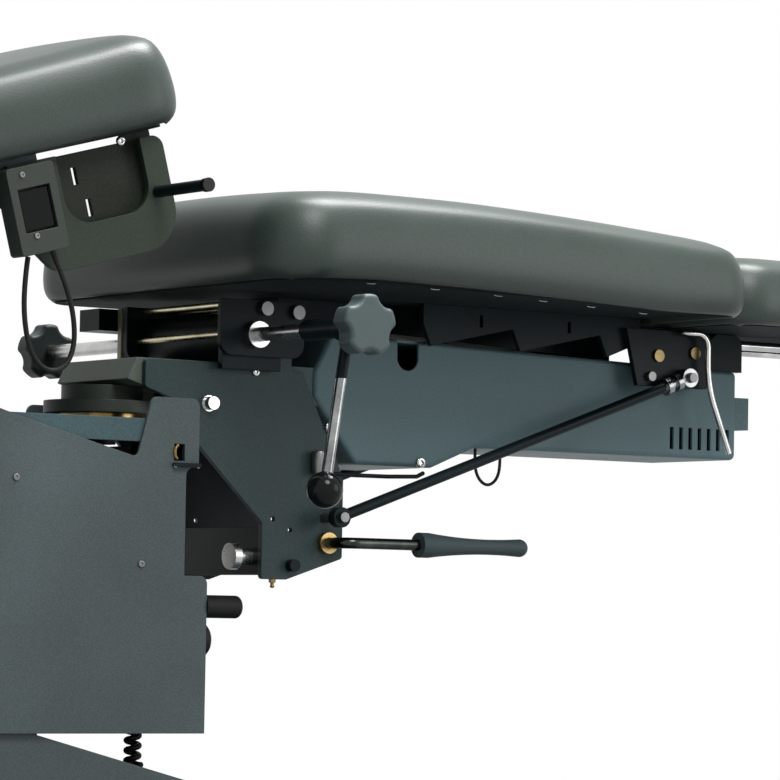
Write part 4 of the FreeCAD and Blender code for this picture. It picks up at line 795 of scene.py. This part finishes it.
add_shapes("panel_screws", [screw_shape((-0.1624, -0.118, 0.3564), 0.0035, 0.0018),
                            screw_shape((-0.0245, -0.118, 0.2789), 0.0035, 0.0018)], "carriage", "zinc")
add_shapes("latch_catch", [bar_shape([(0.0140, -0.1182, 0.3929), (0.0112, -0.1186, 0.3905), (0.0102, -0.1188, 0.3865),
                                      (0.0108, -0.1186, 0.3825), (0.0132, -0.1182, 0.3796)], 0.0016)], "carriage",
           "brass")
add_shapes("latch_ends", [screw_shape((x, -0.1208, 0.3735), 0.0022, 0.0012) for x in (0.0100, 0.0355)], "carriage",
           "chrome")
add_shapes("panel_plug", [turned_shape([(0, 0.0165, 0), (0.006, 0.0165, 0), (0.0082, 0.0145, 0), (0.009, 0.010, 0),
                                        (0.009, 0.001, 0)], (0.0502, -0.100, 0.208), (1, 0, 0))], "carriage",
           "rubber")
add_shapes("box_screws", [screw_shape((-0.2334, -0.240, 0.6228), 0.0028, 0.0014),
                          screw_shape((-0.2165, -0.240, 0.569), 0.0028, 0.0014)], "thoracic", "zinc")
add_shapes("bracket_screw", [screw_shape((-0.1103, -0.205, 0.6663), 0.0045, 0.003)], "thoracic", "chrome")
add_shapes("edge_staples", [staple_shape(x) for x in (0.1560, 0.2310, 0.3066, 0.3614, 0.4207, 0.4862)], "pelvic",
           "zinc")
add_shapes("tower_screws", [screw_shape((0.217, -0.073, 0.4197), 0.0045, 0.003),
                            screw_shape((0.1298, -0.073, 0.470), 0.0040, 0.0025)], "caudal", "chrome")
add_shapes("gas_spring_end", [turned_shape([(0, 0.0068, 0), (0.002, 0.0075, 0), (0.021, 0.0075, 0), (0.023, 0.0066, 0),
                                            (0.024, 0.002, 0)], (0.202, -0.0806, 0.372), (0, 0, 1))], "caudal", "zinc")
add_shapes("release_link", [bar_shape([(0.209, -0.0806, 0.3735), (0.245, -0.0806, 0.3728), (0.285, -0.0800, 0.3729),
                                       (0.322, -0.0775, 0.3742), (0.332, -0.0745, 0.378)], 0.0022)], "caudal",
           "black_paint")
add_shapes("link_clip", [screw_shape((0.331, -0.0700, 0.3885), 0.0055, 0.0034)], "caudal", "chrome")
add_shapes("grease_nipple", [turned_shape([(0, 0.0035, 1), (0.003, 0.0035, 1), (0.0034, 0.002, 0), (0.006, 0.0018, 0),
                                           (0.0072, 0.0026, 0), (0.0085, 0.0008, 0)], (0.156, -0.070, 0.268),
                                          (0, 0, -1))], "caudal", "brass")


# Studio
FLOOR_TONE = (0.66, 0.66, 0.66)
FLOOR_BOUNCE = (0.36, 0.36, 0.36)
FLOOR_FADE = (0.9, 1.9)
FLOOR_RADII = (0.0, 0.8, 1.4, 1.8, 2.0)
FLOOR_SIDES = 72
FLOOR_Z = -0.0005
FLOOR_ROUGHNESS = 0.9
SOFT_TINT = (0.95, 0.97, 1.0, 1)
SOFT_STRENGTH = 0.24
LAMPS = [("key", (-0.3, -2.6, 3.0), (0.2, 0, 0.5), 1.6, 108), ("fill", (2.2, -2.4, 1.0), (0.3, 0, 0.4), 1.8, 22),
         ("top", (1.1, -0.25, 3.1), (0.2, 0, 0.5), 1.6, 180)]


def add_floor():
    """A pale disc of rings round the table, clear at its edge; it throws less light back than it shows."""
    radii = np.array(FLOOR_RADII)
    turn = np.linspace(0, 2 * math.pi, FLOOR_SIDES, endpoint=False)
    points = np.stack([radii[:, None] * np.cos(turn), radii[:, None] * np.sin(turn),
                       np.full((len(radii), len(turn)), FLOOR_Z)], axis=-1).reshape(-1, 3)
    floor = mesh_piece("studio_floor", points, grid_faces(len(radii), len(turn), True)[:, ::-1])
    material = bpy.data.materials.new("pale_floor")
    material.use_nodes = True
    tree = material.node_tree
    shader = tree.nodes["Principled BSDF"]
    shader.inputs["Roughness"].default_value = FLOOR_ROUGHNESS
    rays = tree.nodes.new("ShaderNodeLightPath")
    tree.links.new(mix_colour(tree, rays.outputs["Is Camera Ray"], FLOOR_BOUNCE, FLOOR_TONE),
                   shader.inputs["Base Color"])
    reach = tree.nodes.new("ShaderNodeVectorMath")
    reach.operation = "LENGTH"
    tree.links.new(object_place(tree), reach.inputs[0])
    clear = tree.nodes.new("ShaderNodeBsdfTransparent")
    mix = tree.nodes.new("ShaderNodeMixShader")
    tree.links.new(spread(tree, reach.outputs["Value"], *FLOOR_FADE), mix.inputs["Fac"])
    tree.links.new(shader.outputs["BSDF"], mix.inputs[1])
    tree.links.new(clear.outputs["BSDF"], mix.inputs[2])
    tree.links.new(mix.outputs["Shader"], tree.nodes["Material Output"].inputs["Surface"])
    floor.data.materials.append(material)


def add_lamp(name, place, aim, size, power):
    """A round soft lamp at a place, turned to its aim."""
    data = bpy.data.lights.new(name, "AREA")
    data.shape = "DISK"
    data.size = size
    data.energy = power
    lamp = bpy.data.objects.new(name, data)
    scene.collection.objects.link(lamp)
    way = Vector(place) - Vector(aim)
    lamp.matrix_world = Matrix.Translation(Vector(place)) @ way.to_track_quat("Z", "Y").to_matrix().to_4x4()


def add_world():
    """Soft grey light all round, white where the camera, a mirror or glass looks at it."""
    world = bpy.data.worlds.new("studio")
    scene.world = world
    world.use_nodes = True
    tree = world.node_tree
    soft = tree.nodes["Background"]
    soft.inputs["Color"].default_value = SOFT_TINT
    soft.inputs["Strength"].default_value = SOFT_STRENGTH
    white = tree.nodes.new("ShaderNodeBackground")
    white.inputs["Color"].default_value = (1, 1, 1, 1)
    white.inputs["Strength"].default_value = 1.0
    rays = tree.nodes.new("ShaderNodeLightPath")
    seen = math_node(tree, "MAXIMUM", rays.outputs["Is Camera Ray"], rays.outputs["Is Glossy Ray"])
    seen = math_node(tree, "MAXIMUM", seen, rays.outputs["Is Transmission Ray"])
    mix = tree.nodes.new("ShaderNodeMixShader")
    tree.links.new(seen, mix.inputs["Fac"])
    tree.links.new(soft.outputs["Background"], mix.inputs[1])
    tree.links.new(white.outputs["Background"], mix.inputs[2])
    tree.links.new(mix.outputs["Shader"], tree.nodes["World Output"].inputs["Surface"])


add_floor()
add_world()
for lamp_values in LAMPS:
    add_lamp(*lamp_values)
